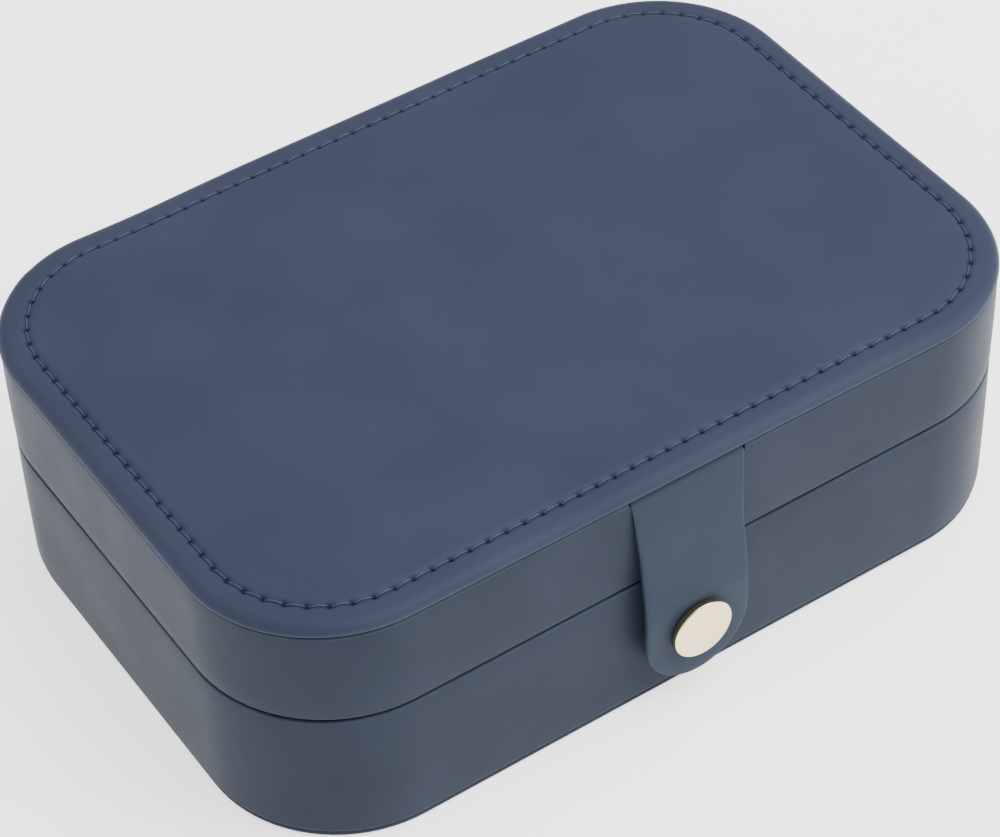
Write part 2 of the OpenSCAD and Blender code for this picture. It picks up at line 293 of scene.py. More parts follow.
@dataclass(frozen=True)
class NappedCloth(Finish):
    """Suede cloth or velvet: short fibres that lean in brushed patches and catch light at the edge."""

    def colour(self, tree: NodeTree, place: NodeSocket, height: NodeSocket) -> NodeSocket:
        """Patches, darkened a little between the tufts."""
        return add_node(tree, "ShaderNodeVectorMath", {"operation": "SCALE"},
                        {"Vector": self.mottle(tree, place), "Scale": between(tree, height, 0.86, 1.05)}
                        ).outputs[0]


@dataclass(frozen=True)
class Ribbed(Finish):
    """Woven elastic or twisted thread: a rib every rib_mm along an axis, or along an attribute."""

    rib_mm: float = 0.7
    along: str = ""

    def height(self, tree: NodeTree, place: NodeSocket) -> NodeSocket:
        """Ribs, worked out from a real spacing."""
        if self.along:
            place = add_node(tree, "ShaderNodeAttribute", {"attribute_name": self.along}).outputs["Vector"]
        wave = add_node(tree, "ShaderNodeTexWave", {"wave_type": "BANDS", "bands_direction": "X"},
                        {"Vector": place, "Scale": per_mm(self.rib_mm) / 3.18, "Distortion": 0.4})
        return wave.outputs["Fac"]

    def colour(self, tree: NodeTree, place: NodeSocket, height: NodeSocket) -> NodeSocket:
        """The dark colour in the grooves as painted shade, and the light one on the ribs as a painted
        highlight.
        """
        return add_node(tree, "ShaderNodeMix", {"data_type": "RGBA"},
                        {0: height, 6: linear(self.dark), 7: linear(self.light)}).outputs[2]


class Finishes:
    """Every finish of the case."""

    # PU-coated split leather, calendered: dull, with a soft broad highlight.
    # The panel's attributes paint shade into its needle holes and under its lip, and a highlight along its
    # lip.
    panel = CoatedLeather("leather_panel", "#2b3141", "#303546", 0.45, 0.04, 26, 0.42, 0.02,
                          specular=0.07, painted_shade="hole_and_lip_shade", edge_highlight_and_tone="edge_highlight", edge_highlight_and_tone_colour="#3a4352")
    # The walls' covers paint a highlight along their rims.
    cover = CoatedLeather("leather_cover", "#222934", "#262d39", 0.45, 0.025, 22, 0.42, 0.02, specular=0.05,
                          edge_highlight_and_tone="edge_highlight", edge_highlight_and_tone_colour="#3b4351")
    strap = CoatedLeather("leather_strap", "#262f3a", "#2a333f", 0.45, 0.04, 20, 0.42, 0.02,
                          specular=0.05, edge_highlight_and_tone="cut_edge", edge_highlight_and_tone_colour="#3b4452")
    # Bonded leather on the strap's back, flatter and a little greyer.
    backing = CoatedLeather("leather_backing", "#272f3c", "#2d3543", 0.6, 0.05, 14, 0.5, 0.02, specular=0.08)
    # Grey chipboard: matt, with short fibres.
    board = NappedCloth("greyboard", "#7a6c5a", "#958873", 0.9, 0.04, 3, 0.3, 0.05, specular=0.2)
    # Flocked suede cloth: matt, light grey-beige, brushed in patches.
    suede = NappedCloth("suede_cloth", "#a79f92", "#b9b2a6", 0.95, 0.03, 9, 0.16, 0.05,
                        specular=0.1, sheen=0.35, sheen_rough=0.5)
    velvet = NappedCloth("velvet_cloth", "#aaa195", "#c0b9ad", 0.95, 0.03, 6, 0.14, 0.06,
                         specular=0.08, sheen=0.6, sheen_rough=0.35)
    # Open-cell polyurethane foam.
    foam = NappedCloth("padding_foam", "#cfc8b2", "#e0dac8", 0.95, 0.02, 5, 0.4, 0.15, specular=0.1)
    # Bonded polyester sewing thread, with its twist.
    # Its dark colour is painted shade in the twist's grooves, its light one a painted highlight on the
    # ridges.
    thread = Ribbed("sewing_thread", "#1c2442", "#333c63", 0.45, 0.05, 6, relief_mm=0.03, specular=0.3,
                    sheen=0.05, rib_mm=0.5, along="twist")
    # The tape's dark colour is painted shade between its ribs, its light one a painted highlight on them.
    hem = Ribbed("elastic_tape", "#8f887d", "#b5aea2", 0.8, 0.05, 6, relief_mm=0.12, specular=0.2,
                 sheen=0.2, rib_mm=0.8)
    # Nickel-plated brass, tumbled: warm white metal with a satin polish.
    nickel = Finish("satin_nickel", "#e6d1a3", "#eedcb4", 0.25, 0.03, 4, 0.2, 0.0015, metallic=1.0)
    spring = Finish("spring_steel", "#9c988f", "#aaa69d", 0.35, 0.04, 3, 0.2, 0.001, metallic=1.0)
    # Painted sweep under the case.
    floor = Finish("studio_paint", "#f4f4f4", "#f7f7f7", 0.75, 0.02, 60, 2.0, 0.02, specular=0.2)


# ---------------------------------------------------------------- modelling tools


def soft_noise(point: Vector, size_mm: float, seed: float) -> float:
    """Smooth value from about -1 to 1 that changes over size_mm.

    Args:
        point: Where, in millimetres.
        size_mm: Distance over which it changes.
        seed: Moves the pattern, so that two pieces differ.
    Returns:
        The value.
    """
    return noise.noise(point / size_mm + Vector((seed, seed * 0.7, seed * 1.3)))


def bell(distance: float, width: float) -> float:
    """Smooth bump, 1 at distance 0 and nearly 0 at twice the width."""
    return math.exp(-((distance / width) ** 2))


def cut(bm: BMesh, axis: int, places: Iterable[float]) -> None:
    """Cuts edges and faces by planes, so that a piece can bend there.

    Args:
        bm: The mesh.
        axis: 0, 1 or 2 for planes across X, Y or Z.
        places: Where each plane stands along the axis.
    """
    normal = [0.0, 0.0, 0.0]
    normal[axis] = 1.0
    for place in places:
        bmesh.ops.bisect_plane(bm, geom=bm.verts[:] + bm.edges[:] + bm.faces[:], dist=1e-5,
                               plane_co=[place * n for n in normal], plane_no=normal)


def steps(start: float, end: float, count: int) -> list[float]:
    """Evenly spaced numbers, both ends among them."""
    return [start + (end - start) * i / count for i in range(count + 1)]


def box_mm(node: str) -> tuple[Vector, Vector]:
    """Lowest and highest corner of a CAD node, in millimetres."""
    low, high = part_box(node)
    return low / MM, high / MM


def face_out(bm: BMesh) -> None:
    """Turns every face outwards."""
    bmesh.ops.recalc_face_normals(bm, faces=bm.faces)


def round_over(bm: BMesh, geom: list[BMVert | BMEdge], radius: float,
               segments: int, affect: str = "EDGES") -> None:
    """Rounds edges, or the corners of a flat shape.

    Args:
        bm: The mesh.
        geom: The edges or the vertices.
        radius: Radius of the round.
        segments: Edges in its arc.
        affect: "EDGES" or "VERTICES".
    """
    bmesh.ops.bevel(bm, geom=geom, offset=radius, offset_type="OFFSET", affect=affect, segments=segments,
                    profile=0.5, material=-1)


def round_rims(bm: BMesh, radius: float, segments: int) -> None:
    """Rounds every sharp edge of a closed mesh."""
    rims = [e for e in bm.edges if e.is_manifold and e.calc_face_angle() > SHARP]
    round_over(bm, rims, radius, segments)


def flat_shape(width: float, depth: float, centre: tuple[float, float], radius: float,
               segments: int) -> BMesh:
    """Flat rectangle with rounded corners in the XY plane.

    Args:
        width: Size along X.
        depth: Size along Y.
        centre: Its middle.
        radius: Radius of its corners.
        segments: Edges in each corner's arc.
    Returns:
        A mesh with one face.
    """
    bm = bmesh.new()
    bmesh.ops.create_grid(bm, x_segments=1, y_segments=1, size=0.5)
    bmesh.ops.scale(bm, vec=(width, depth, 1), verts=bm.verts)
    if radius > 0:
        round_over(bm, bm.verts[:], radius, segments, "VERTICES")
    bmesh.ops.translate(bm, vec=(*centre, 0), verts=bm.verts)
    return bm


def thicken(bm: BMesh, thickness: float, edge_radius: float, segments: int = 3) -> None:
    """Gives a flat shape its thickness upwards and rounds its rims.

    Args:
        bm: Mesh of one flat shape at z 0.
        thickness: Its thickness.
        edge_radius: Radius of both rims.
        segments: Edges in each rim's arc.
    """
    made = bmesh.ops.extrude_face_region(bm, geom=bm.faces[:], use_keep_orig=True)
    top = [v for v in made["geom"] if isinstance(v, BMVert)]
    bmesh.ops.translate(bm, vec=(0, 0, thickness), verts=top)
    face_out(bm)
    round_rims(bm, edge_radius, segments)


def plain_block(low: Vector, high: Vector) -> BMesh:
    """Box between two corners."""
    bm = bmesh.new()
    bmesh.ops.create_cube(bm, size=1.0)
    bmesh.ops.scale(bm, vec=high - low, verts=bm.verts)
    bmesh.ops.translate(bm, vec=(low + high) / 2, verts=bm.verts)
    return bm


def soft_block(low: Vector, high: Vector, radius: float, cuts: tuple[int, int, int]) -> BMesh:
    """Box with rounded edges, cut so that it can be shaped.

    Args:
        low: Lowest corner.
        high: Highest corner.
        radius: Radius of its edges.
        cuts: Number of spans along X, Y and Z.
    Returns:
        The mesh.
    """
    bm = plain_block(low, high)
    round_over(bm, bm.edges[:], radius, 4)
    for axis, count in enumerate(cuts):
        cut(bm, axis, steps(low[axis] + radius, high[axis] - radius, count) if count > 1 else ())
    return bm


def lathe(profile: list[tuple[float, float]], segments: int) -> BMesh:
    """Turns a profile about Z.

    Args:
        profile: Radius and height of each point, from the lower pole to the upper one.
        segments: Faces round the turn.
    Returns:
        The closed mesh.
    """
    bm = bmesh.new()
    points = [bm.verts.new((r, 0, z)) for r, z in profile]
    edges = [bm.edges.new(pair) for pair in zip(points, points[1:])]
    bmesh.ops.spin(bm, geom=points + edges, cent=(0, 0, 0), axis=(0, 0, 1), angle=2 * math.pi,
                   steps=segments, use_merge=True)
    bmesh.ops.remove_doubles(bm, verts=bm.verts, dist=1e-4)
    face_out(bm)
    return bm


def reshape(bm: BMesh, move: Callable[[Vector], Vector]) -> None:
    """Moves every vertex to where a function says."""
    for vert in bm.verts:
        vert.co = move(vert.co.copy())


def place_object(name: str, data: bpy.types.ID) -> Object:
    """Puts a mesh, a light or a camera into the scene."""
    made = bpy.data.objects.new(name, data)
    bpy.context.scene.collection.objects.link(made)
    return made


def finish_piece(name: str, bm: BMesh, finish: Finish, slot: Slot, stands_for: tuple[str, ...],
                 body: Body | None = None, sharp_deg: float = 40.0) -> Object:
    """Writes a mesh in metres, dresses it and ties it to the frame.

    Args:
        name: The piece's name.
        bm: Its mesh in millimetres, which is used up.
        finish: What it is made of.
        slot: The record's slot of that finish; not used.
        stands_for: CAD nodes that it replaces.
        body: The body that it rides on, or None.
        sharp_deg: Faces that meet at more than this angle keep a crisp edge.
    Returns:
        The object.
    """
    bmesh.ops.scale(bm, vec=(MM, MM, MM), verts=bm.verts)
    mesh = bpy.data.meshes.new(name)
    bm.to_mesh(mesh)
    bm.free()
    mesh.shade_smooth()
    mesh.set_sharp_from_angle(angle=math.radians(sharp_deg))
    mesh.materials.append(finish.material())
    piece = place_object(name, mesh)
    if stands_for:
        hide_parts(*stands_for)
    if body:
        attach(piece, body.value)
    LOG.info("%s: %d faces for %s", name, len(mesh.polygons), ", ".join(stands_for) or "nothing in the CAD")
    return piece


@dataclass(frozen=True)
class Footing:
    """A point of the case's outline: its place, the way out from it, and its number along the outline."""

    place: Vector
    out: Vector
    mark: int

    def at(self, inset: float, z: float) -> Vector:
        """Point that lies inwards from the outline, at a height."""
        return Vector((self.place.x - self.out.x * inset, self.place.y - self.out.y * inset, z))


@dataclass(frozen=True)
class Outline:
    """Rounded outline of the case, and how finely each stretch of it is divided."""

    half_w: float
    half_d: float
    radius: float
    long_spans: int = 24
    side_spans: int = 16
    arc_spans: int = 20
    cuts_x: tuple[float, ...] = ()

    def loop(self, bm: BMesh) -> list[Footing]:
        """Makes the outline as a loop of edges at z 0.

        Args:
            bm: An empty mesh.
        Returns:
            The footing of each vertex, in the order of the mesh's vertices.
        """
        bmesh.ops.create_grid(bm, x_segments=1, y_segments=1, size=1.0)
        bmesh.ops.scale(bm, vec=(self.half_w, self.half_d, 1), verts=bm.verts)
        round_over(bm, bm.verts[:], self.radius, self.arc_spans, "VERTICES")
        bmesh.ops.delete(bm, geom=bm.faces[:], context="FACES_ONLY")
        flat = self.half_w - self.radius
        for count, across in ((self.long_spans, 0), (self.side_spans, 1)):
            straight = [e for e in bm.edges if abs(e.verts[0].co[across] - e.verts[1].co[across]) > flat]
            bmesh.ops.subdivide_edges(bm, edges=straight, cuts=count - 1)
            flat = self.half_d - self.radius
        cut(bm, 0, self.cuts_x)
        here = min(bm.verts, key=lambda v: (round(v.co.y, 4), v.co.x))
        order, came = [here], None
        while len(order) < len(bm.verts):
            paths = [e for e in here.link_edges if e is not came]
            came = max(paths, key=lambda e: e.other_vert(here).co.x) if len(paths) > 1 else paths[0]
            here = came.other_vert(here)
            order.append(here)
        marks = {v: i for i, v in enumerate(order)}
        return [self.footing(v.co, marks[v]) for v in bm.verts]

    def footing(self, place: Vector, mark: int) -> Footing:
        """Footing of a point on the outline."""
        limit = (self.half_w - self.radius, self.half_d - self.radius)
        core = Vector([max(-m, min(m, c)) for m, c in zip(limit, place)] + [0])
        return Footing(place.copy(), (place - core).normalized(), mark)


class Loft:
    """Shell that is grown ring by ring from the case's outline, or from part of it."""

    def __init__(self, outline: Outline, keep: Callable[[Vector], bool] | None = None) -> None:
        """Starts from the outline's loop.

        Args:
            outline: The case's outline.
            keep: Says, from the middle of an edge of the loop, whether it stays. All do without it.
        """
        self.bm = bmesh.new()
        self.footings = outline.loop(self.bm)
        self.layer = self.bm.verts.layers.int.new("footing")
        self.bm.verts.ensure_lookup_table()
        for index, vert in enumerate(self.bm.verts):
            vert[self.layer] = index
        if keep:
            gone = [e for e in self.bm.edges if not keep((e.verts[0].co + e.verts[1].co) / 2)]
            bmesh.ops.delete(self.bm, geom=gone, context="EDGES")
            loose = [v for v in self.bm.verts if not v.link_edges]
            bmesh.ops.delete(self.bm, geom=loose, context="VERTS")
        self.edges = self.bm.edges[:]
        self.first = self.edges
        self.started = False

    def ring(self, place: Callable[[Footing], Vector]) -> list[BMVert]:
        """Grows the next ring of faces.

        Args:
            place: Says where each of the ring's vertices goes.
        Returns:
            The ring's vertices.
        """
        if self.started:
            grown = bmesh.ops.extrude_edge_only(self.bm, edges=self.edges)["geom"]
            verts = [g for g in grown if isinstance(g, BMVert)]
            fresh = set(verts)
            self.edges = [g for g in grown if isinstance(g, BMEdge) and fresh.issuperset(g.verts)]
        else:
            verts = self.bm.verts[:]
            self.started = True
        for vert in verts:
            vert.co = place(self.footings[vert[self.layer]])
        return verts

    def rings(self, stations: Iterable[tuple[float, float]],
              adjust: Callable[[Footing, float, float], tuple[float, float]] | None = None) -> None:
        """Grows a ring at each inset and height.

        Args:
            stations: Inset and height of each ring.
            adjust: Changes an inset and height at a footing.
        """
        for inset, z in stations:
            if adjust:
                self.ring(lambda foot, i=inset, h=z: foot.at(*adjust(foot, i, h)))
            else:
                self.ring(lambda foot, i=inset, h=z: foot.at(i, h))

    def cap(self, edges: list[BMEdge]) -> None:
        """Closes a loop of edges with a flat face."""
        bmesh.ops.edgeloop_fill(self.bm, edges=edges)

    def close_bowl(self) -> BMesh:
        """Closes the first and the last ring, and returns the mesh with its faces outwards."""
        self.cap(self.first)
        self.cap(self.edges)
        return self.done()

    def close_round(self) -> BMesh:
        """Joins the last ring to the first, closes any open end, and returns the mesh."""
        bmesh.ops.bridge_loops(self.bm, edges=self.first + self.edges)
        open_edges = [e for e in self.bm.edges if e.is_boundary]
        if open_edges:
            bmesh.ops.holes_fill(self.bm, edges=open_edges, sides=0)
        return self.done()

    def done(self) -> BMesh:
        """Turns all faces outwards and drops the helper layer."""
        face_out(self.bm)
        self.bm.verts.layers.int.remove(self.layer)
        return self.bm


@dataclass(frozen=True)
class CaseSizes:
    """Sizes that the sub-assemblies share, in millimetres."""

    half_w: float
    half_d: float
    bottom_z: float
    base_rim: float
    lid_rim: float
    panel_z: float
    corner_r: float = 27.0
    leather: float = 0.8
    cover: float = 3.2
    wall: float = 4.0
    window: float = 55.0
    hinge_half: float = 52.0

    @classmethod
    def from_frame(cls) -> "CaseSizes":
        """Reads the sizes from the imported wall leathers."""
        (low, high), lid = box_mm("base_wall_leather"), box_mm("lid_wall_leather")
        return cls(high.x, high.y, low.z, high.z, lid[0].z, lid[1].z)

    def outline(self, **divisions: object) -> Outline:
        """The case's outline, divided as asked."""
        return Outline(self.half_w, self.half_d, self.corner_r, **divisions)

    @property
    def gap_z(self) -> float:
        """Height of the middle of the gap between the rims, where the lid's hinge is."""
        return (self.base_rim + self.lid_rim) / 2


# ---------------------------------------------------------------- lid's top


@dataclass
class TopPanel:
    """Padded top panel, its stitching and the foam under the leather."""

    case: CaseSizes
    edge_h: float = 2.3
    crown_h: float = 3.4
    edge_round: float = 1.8
    crown_run: float = 32.0
    stitch_inset: float = 5.1
    spans_per_stitch: int = 5
    stitch_step: float = 0.73
    hole_gap: float = 0.34
    groove_depth: float = 0.26
    groove_width: float = 0.7
    pit_depth: float = 0.5
    pit_radius: float = 0.56
    thread_r: float = 0.18
    arch: float = 0.24
    sunk: float = 0.1
    follow: float = 0.6
    flat_from: float = 24.0
    skin: float = 0.85
    board_t: float = 1.2
    wander_run: float = 14.0
    side_wander: float = 0.16
    lift_wander: float = 0.22
    dip_x: float = -46.0
    dip_run: float = 17.0
    dip: tuple[float, float] = (0.3, 0.35)
    uneven_from: float = 7.0
    unevenness: float = 0.07
    uneven_mm: float = 26.0
    # Inset, height and painted highlight strength of each ring of the turned lip; the rings under its edge
    # also carry painted shade.
    lip: tuple[tuple[float, float, float], ...] = (
        (0.9, 0.12, 0.0), (0.45, 0.3, 0.0), (0.1, 0.37, 0.0), (-0.04, 0.4, 0.8), (-0.12, 0.49, 0.9),
        (-0.16, 0.62, 0.3),
    )
    roll: tuple[tuple[float, float], ...] = (
        (-0.15, 0.84), (-0.08, 1.08), (0.05, 1.34), (0.25, 1.58), (0.5, 1.8), (0.82, 2.0), (1.22, 2.16),
        (1.75, 2.29),
    )
    crown: tuple[float, ...] = (
        2.4, 3.0, 3.5, 3.9, 4.2, 4.45, 4.68, 4.9, 5.1, 5.3, 5.52, 5.75, 6.0, 6.35, 6.8, 7.4, 8.2, 9.3, 10.6,
        12.4, 14.6, 17.5, 20.8, 24.0,
    )

    def outline(self) -> Outline:
        """Outline whose vertices fall on the needle holes."""
        return self.case.outline(long_spans=152, side_spans=81, arc_spans=46)

    def rise(self, inset: float) -> float:
        """Height of the unstitched padding above the panel's underside."""
        run = min(1.0, max(0.0, (inset - self.edge_round) / self.crown_run))
        return self.edge_h + (self.crown_h - self.edge_h) * (1 - (1 - run) ** 2)

    def sway(self, foot: Footing) -> tuple[float, float]:
        """How far the hand-wrapped edge wanders outwards and upwards, with a dip at the back left."""
        side = self.side_wander * soft_noise(foot.place, 34, 3.1)
        lift = self.lift_wander * soft_noise(foot.place, 27, 8.4)
        if foot.out.y > 0.9:
            side -= self.dip[0] * bell(foot.place.x - self.dip_x, self.dip_run)
            lift -= self.dip[1] * bell(foot.place.x - self.dip_x, self.dip_run)
        return side, lift

    def ripple(self, at: Vector) -> float:
        """Slow unevenness of the padding under the leather."""
        return self.unevenness * soft_noise(at, self.uneven_mm, 5.5)

    def surface(self, foot: Footing, inset: float) -> tuple[float, float, float]:
        """Leather surface with its groove and needle pits.

        Args:
            foot: Where along the outline.
            inset: How far in from the outline.
        Returns:
            Inset, height above the panel's underside, and how deep in a pit it is, which also sets the
            painted shade in the needle hole.
        """
        side, lift = self.sway(foot)
        pull = bell(inset - self.stitch_inset, self.groove_width)
        step = foot.mark % self.spans_per_stitch
        away = min(step, self.spans_per_stitch - step) * self.stitch_step
        painted_shade = bell(math.hypot(away, inset - self.stitch_inset), self.pit_radius)
        fade = max(0.0, 1 - inset / self.wander_run)
        z = self.rise(inset) + lift * fade - self.groove_depth * pull - self.pit_depth * painted_shade
        if inset > self.uneven_from:
            z += self.ripple(foot.at(inset, 0))
        return inset - side * fade, z, painted_shade

    def leather(self) -> Object:
        """Leather wrapped over the padding and turned under the board."""
        loft = Loft(self.outline())
        # Attributes for the painted shade in the needle holes and under the lip, and for the painted
        # highlight along the lip.
        hole_and_lip_shade = loft.bm.verts.layers.float.new("hole_and_lip_shade")
        edge_highlight = loft.bm.verts.layers.float.new("edge_highlight")
        base = self.case.panel_z
        loft.rings([(self.flat_from, base + self.rise(self.flat_from) - self.skin),
                    (9.0, base + self.rise(9.0) - self.skin), (2.6, base + self.edge_h - self.skin),
                    (0.8, base + self.board_t)])
        for inset, z, highlight_weight in self.lip + tuple((i, h, 0.0) for i, h in self.roll):
            def wrap(foot: Footing, i: float = inset, h: float = z) -> Vector:
                side, lift = self.sway(foot)
                return foot.at(i - side * min(1.0, h / 0.5), base + h + lift * h / self.edge_h)
            for vert in loft.ring(wrap):
                # A painted highlight on the lip's rings, and painted shade on those under its edge.
                vert[edge_highlight] = highlight_weight * (0.35 + 0.3 * soft_noise(vert.co, 6, 2.2))
                vert[hole_and_lip_shade] = 0.9 * (z < self.lip[3][1])
        for inset in self.crown:
            for vert in loft.ring(lambda foot, i=inset: foot.at(*self.surface(foot, i)[:2])):
                vert.co.z += base
                # Painted shade in each needle hole, as strong as the pit is deep.
                vert[hole_and_lip_shade] = self.surface(loft.footings[vert[loft.layer]], inset)[2]
        top = self.crown_h - self.rise(self.flat_from)
        for share in (0.9, 0.78, 0.64, 0.5, 0.36, 0.22, 0.1):
            def shrink(foot: Footing, s: float = share) -> Vector:
                at = foot.at(self.flat_from, 0) * s
                lift = self.rise(self.flat_from) + top * (1 - s) + self.ripple(at)
                return Vector((at.x, at.y, base + lift))
            loft.ring(shrink)
        return finish_piece("top_panel_leather", loft.close_bowl(), Finishes.panel, Slot.LEATHER,
                            ("lid_top_leather",), Body.LID)

    def holes(self) -> list[Footing]:
        """Footings of the needle holes, in order."""
        bm = bmesh.new()
        found = sorted(self.outline().loop(bm), key=lambda foot: foot.mark)
        bm.free()
        return found[:: self.spans_per_stitch]

    def stitching(self) -> Object:
        """Row of arched stitches, each leaning a little across the row."""
        bm = bmesh.new()
        holes = self.holes()
        for foot, ahead in zip(holes, holes[1:] + holes[:1]):
            side, lift = (self.follow * sway for sway in self.sway(foot))
            z = self.case.panel_z + self.rise(self.stitch_inset) + lift - self.groove_depth - self.sunk
            lean = 0.12 + 0.05 * soft_noise(foot.place, 5, 2.0)
            start = foot.at(self.stitch_inset - side - lean, z)
            end = ahead.at(self.stitch_inset - side + lean, z)
            gap = (end - start).normalized() * self.hole_gap
            add_stitch(bm, start + gap, end - gap, self.arch, self.thread_r, Vector((0, 0, 1)))
        return finish_piece("top_panel_stitching", bm, Finishes.thread, Slot.THREAD, ("lid_stitching",),
                            Body.LID, 60)

    def padding(self) -> Object:
        """Foam between the board and the leather, thinner at its edge."""
        loft = Loft(self.case.outline(long_spans=12, side_spans=8, arc_spans=12))
        board = self.case.panel_z + self.board_t
        loft.rings([(CORE, board), (1.6, board), (1.25, board + 0.06), (1.3, board + 0.12),
                    (2.4, board + 0.2), (5.6, board + 0.28), (8.0, board + 0.5), (14.0, board + 0.85),
                    (22.0, board + 1.15)])
        piece = finish_piece("top_panel_padding", loft.close_bowl(), Finishes.foam, Slot.FOAM,
                             ("lid_top_foam",), Body.LID)
        return piece

    def build(self) -> None:
        """Builds the panel's pieces."""
        self.leather()
        self.stitching()
        self.padding()


def add_stitch(bm: BMesh, start: Vector, end: Vector, rise: float, radius: float,
               up: Vector) -> None:
    """Adds one stitch: an arch of thread whose ends dive into their holes.

    Args:
        bm: The row's mesh.
        start: Where the thread comes out.
        end: Where it goes in again.
        rise: Height of the arch.
        radius: Radius of the thread.
        up: The way out of the leather.
    """
    twist = bm.verts.layers.float_vector.get("twist") or bm.verts.layers.float_vector.new("twist")
    chord = (end - start).length
    bend = (chord * chord / 4 + rise * rise) / (2 * rise)
    half = math.asin(min(1.0, chord / 2 / bend))
    along = (end - start).normalized()
    side = along.cross(up).normalized()
    centre = (start + end) / 2 + up * (rise - bend)
    begin = start - centre
    frame_axes = Matrix((side, begin.normalized(), side.cross(begin.normalized()))).transposed()
    place = Matrix.Translation(start) @ frame_axes.to_4x4()
    old = set(bm.verts)
    made = bmesh.ops.create_circle(bm, cap_ends=False, segments=6, radius=radius, matrix=place)["verts"]
    edges = list({e for v in made for e in v.link_edges})
    bmesh.ops.spin(bm, geom=made + edges, cent=centre, axis=-side, angle=2 * half, steps=7, use_merge=False)
    fresh = [v for v in bm.verts if v not in old]
    for vert in fresh:
        run = (vert.co - start).dot(along)
        share = min(1.0, max(0.0, run / chord))
        middle = start + along * run
        thin = 0.62 + 0.38 * math.sin(math.pi * share) ** 0.5
        arch = centre + (middle - centre).normalized() * bend
        vert.co = arch + (vert.co - arch) * thin
        turn = math.atan2((vert.co - arch).dot(side), (vert.co - arch).dot(up))
        vert[twist] = Vector((run + turn / (2 * math.pi) * Finishes.thread.rib_mm, 0, 0)) * MM
    open_ends = [e for e in bm.edges if e.is_boundary and e.verts[0] not in old]
    bmesh.ops.holes_fill(bm, edges=open_ends, sides=0)
    faces = list({f for v in fresh for f in v.link_faces})
    bmesh.ops.recalc_face_normals(bm, faces=faces)


# ---------------------------------------------------------------- walls


class Rim(Enum):
    """Which half a wall's leather or lining belongs to, by the way that its rim faces."""

    UP = 1
    DOWN = -1


@dataclass
class WallCover:
    """Leather round a wall, turned over its rim, open at the back where the hinge leather is."""

    case: CaseSizes
    name: str
    node: str
    rim: Rim
    rim_z: float
    far_z: float
    body: Body
    swell: float = 0.09
    wander: float = 0.014
    wander_mm: float = 30.0
    seed: float = 1.0
    notch_half: float = 0.0
    notch_z: float = 0.0
    press_half: float = 11.1
    press_depth: float = 0.72
    press_low: float = 38.0
    press_fade: float = 2.0

    def stations(self) -> list[tuple[float, float]]:
        """Inset and height of the leather's section, from the rim's inner edge round and back."""
        way = self.rim.value
        rim, far = self.rim_z, self.far_z
        span = (far - rim) / 6
        outer = [(-self.swell * math.sin(math.pi * k / 6), rim + span * k) for k in range(1, 6)]
        return [
            (self.case.cover, rim), (1.5, rim), (0.6, rim - way * 0.02), (0.3, rim - way * 0.08),
            (0.12, rim - way * 0.2), (0.03, rim - way * 0.37), (0.0, rim - way * 0.62), *outer,
            (0.0, far + way * 0.75), (0.03, far + way * 0.4), (0.14, far + way * 0.14),
            (0.34, far + way * 0.02), (self.case.leather, far),
            (self.case.leather, rim - way * self.case.leather),
            (self.case.cover, rim - way * self.case.leather),
        ]

    def settle(self, foot: Footing, inset: float, z: float) -> tuple[float, float]:
        """Lets the leather follow a wall that isn't quite true, pressed in where the strap lies.

        Args:
            foot: Where along the outline.
            inset: Inset on a true wall.
            z: Height on a true wall.
        Returns:
            The inset and the height.
        """
        if inset < 0.5:
            inset += self.wander * soft_noise(foot.at(0, z * 1.5), self.wander_mm, self.seed)
        if self.notch_half and abs(foot.place.x) < self.notch_half and foot.out.y < -0.5:
            share = min(1.0, max(0.0, (z - self.press_low) / (self.notch_z - self.press_low))) ** 0.8
            near = min(1.0, max(0.0, (self.press_half - abs(foot.place.x)) / self.press_fade))
            inset += max(0.0, self.press_depth - inset) * share * near * near * (3 - 2 * near)
            z = min(z, self.notch_z)
        return inset, z

    def build(self) -> Object:
        """Leather round the front and the ends, and the strip of rim behind the hinge leather."""
        window = self.case.window
        edges = (self.notch_half + 0.05, self.notch_half - 0.02,
                 *(self.press_half - self.press_fade * k / 6 for k in range(7))) if self.notch_half else ()
        cuts = (-window, window) + tuple(side * edge for side in (-1, 1) for edge in edges)
        outline = self.case.outline(cuts_x=cuts)

        def in_window(at: Vector) -> bool:
            return at.y > 0 and abs(at.x) < window

        loft = Loft(outline, keep=lambda at: not in_window(at))
        # A painted highlight along the rims' rounds, where they catch light.
        edge_highlight = loft.bm.verts.layers.float.new("edge_highlight")
        upper = max(self.rim_z, self.far_z)
        for inset, z in self.stations():
            edge_highlight_and_tone = 0.0 < upper - z < 0.5 and inset < 0.5
            for vert in loft.ring(lambda foot, i=inset, h=z: foot.at(*self.settle(foot, i, h))):
                vert[edge_highlight] = edge_highlight_and_tone * (0.45 + 0.3 * soft_noise(vert.co, 8, 3.3))
        bm = loft.close_round()
        inner = self.case.half_d - self.case.cover
        low_z, high_z = sorted((self.rim_z, self.rim_z - self.rim.value * self.case.leather))
        strip = soft_block(Vector((-window, inner, low_z)), Vector((window, self.case.half_d - 0.85, high_z)),
                           0.15, (12, 1, 1))
        spare = bpy.data.meshes.new("rim_strip")
        strip.to_mesh(spare)
        strip.free()
        bm.from_mesh(spare)
        bpy.data.meshes.remove(spare)
        return finish_piece(self.name, bm, Finishes.cover, Slot.LEATHER, (self.node,), self.body)


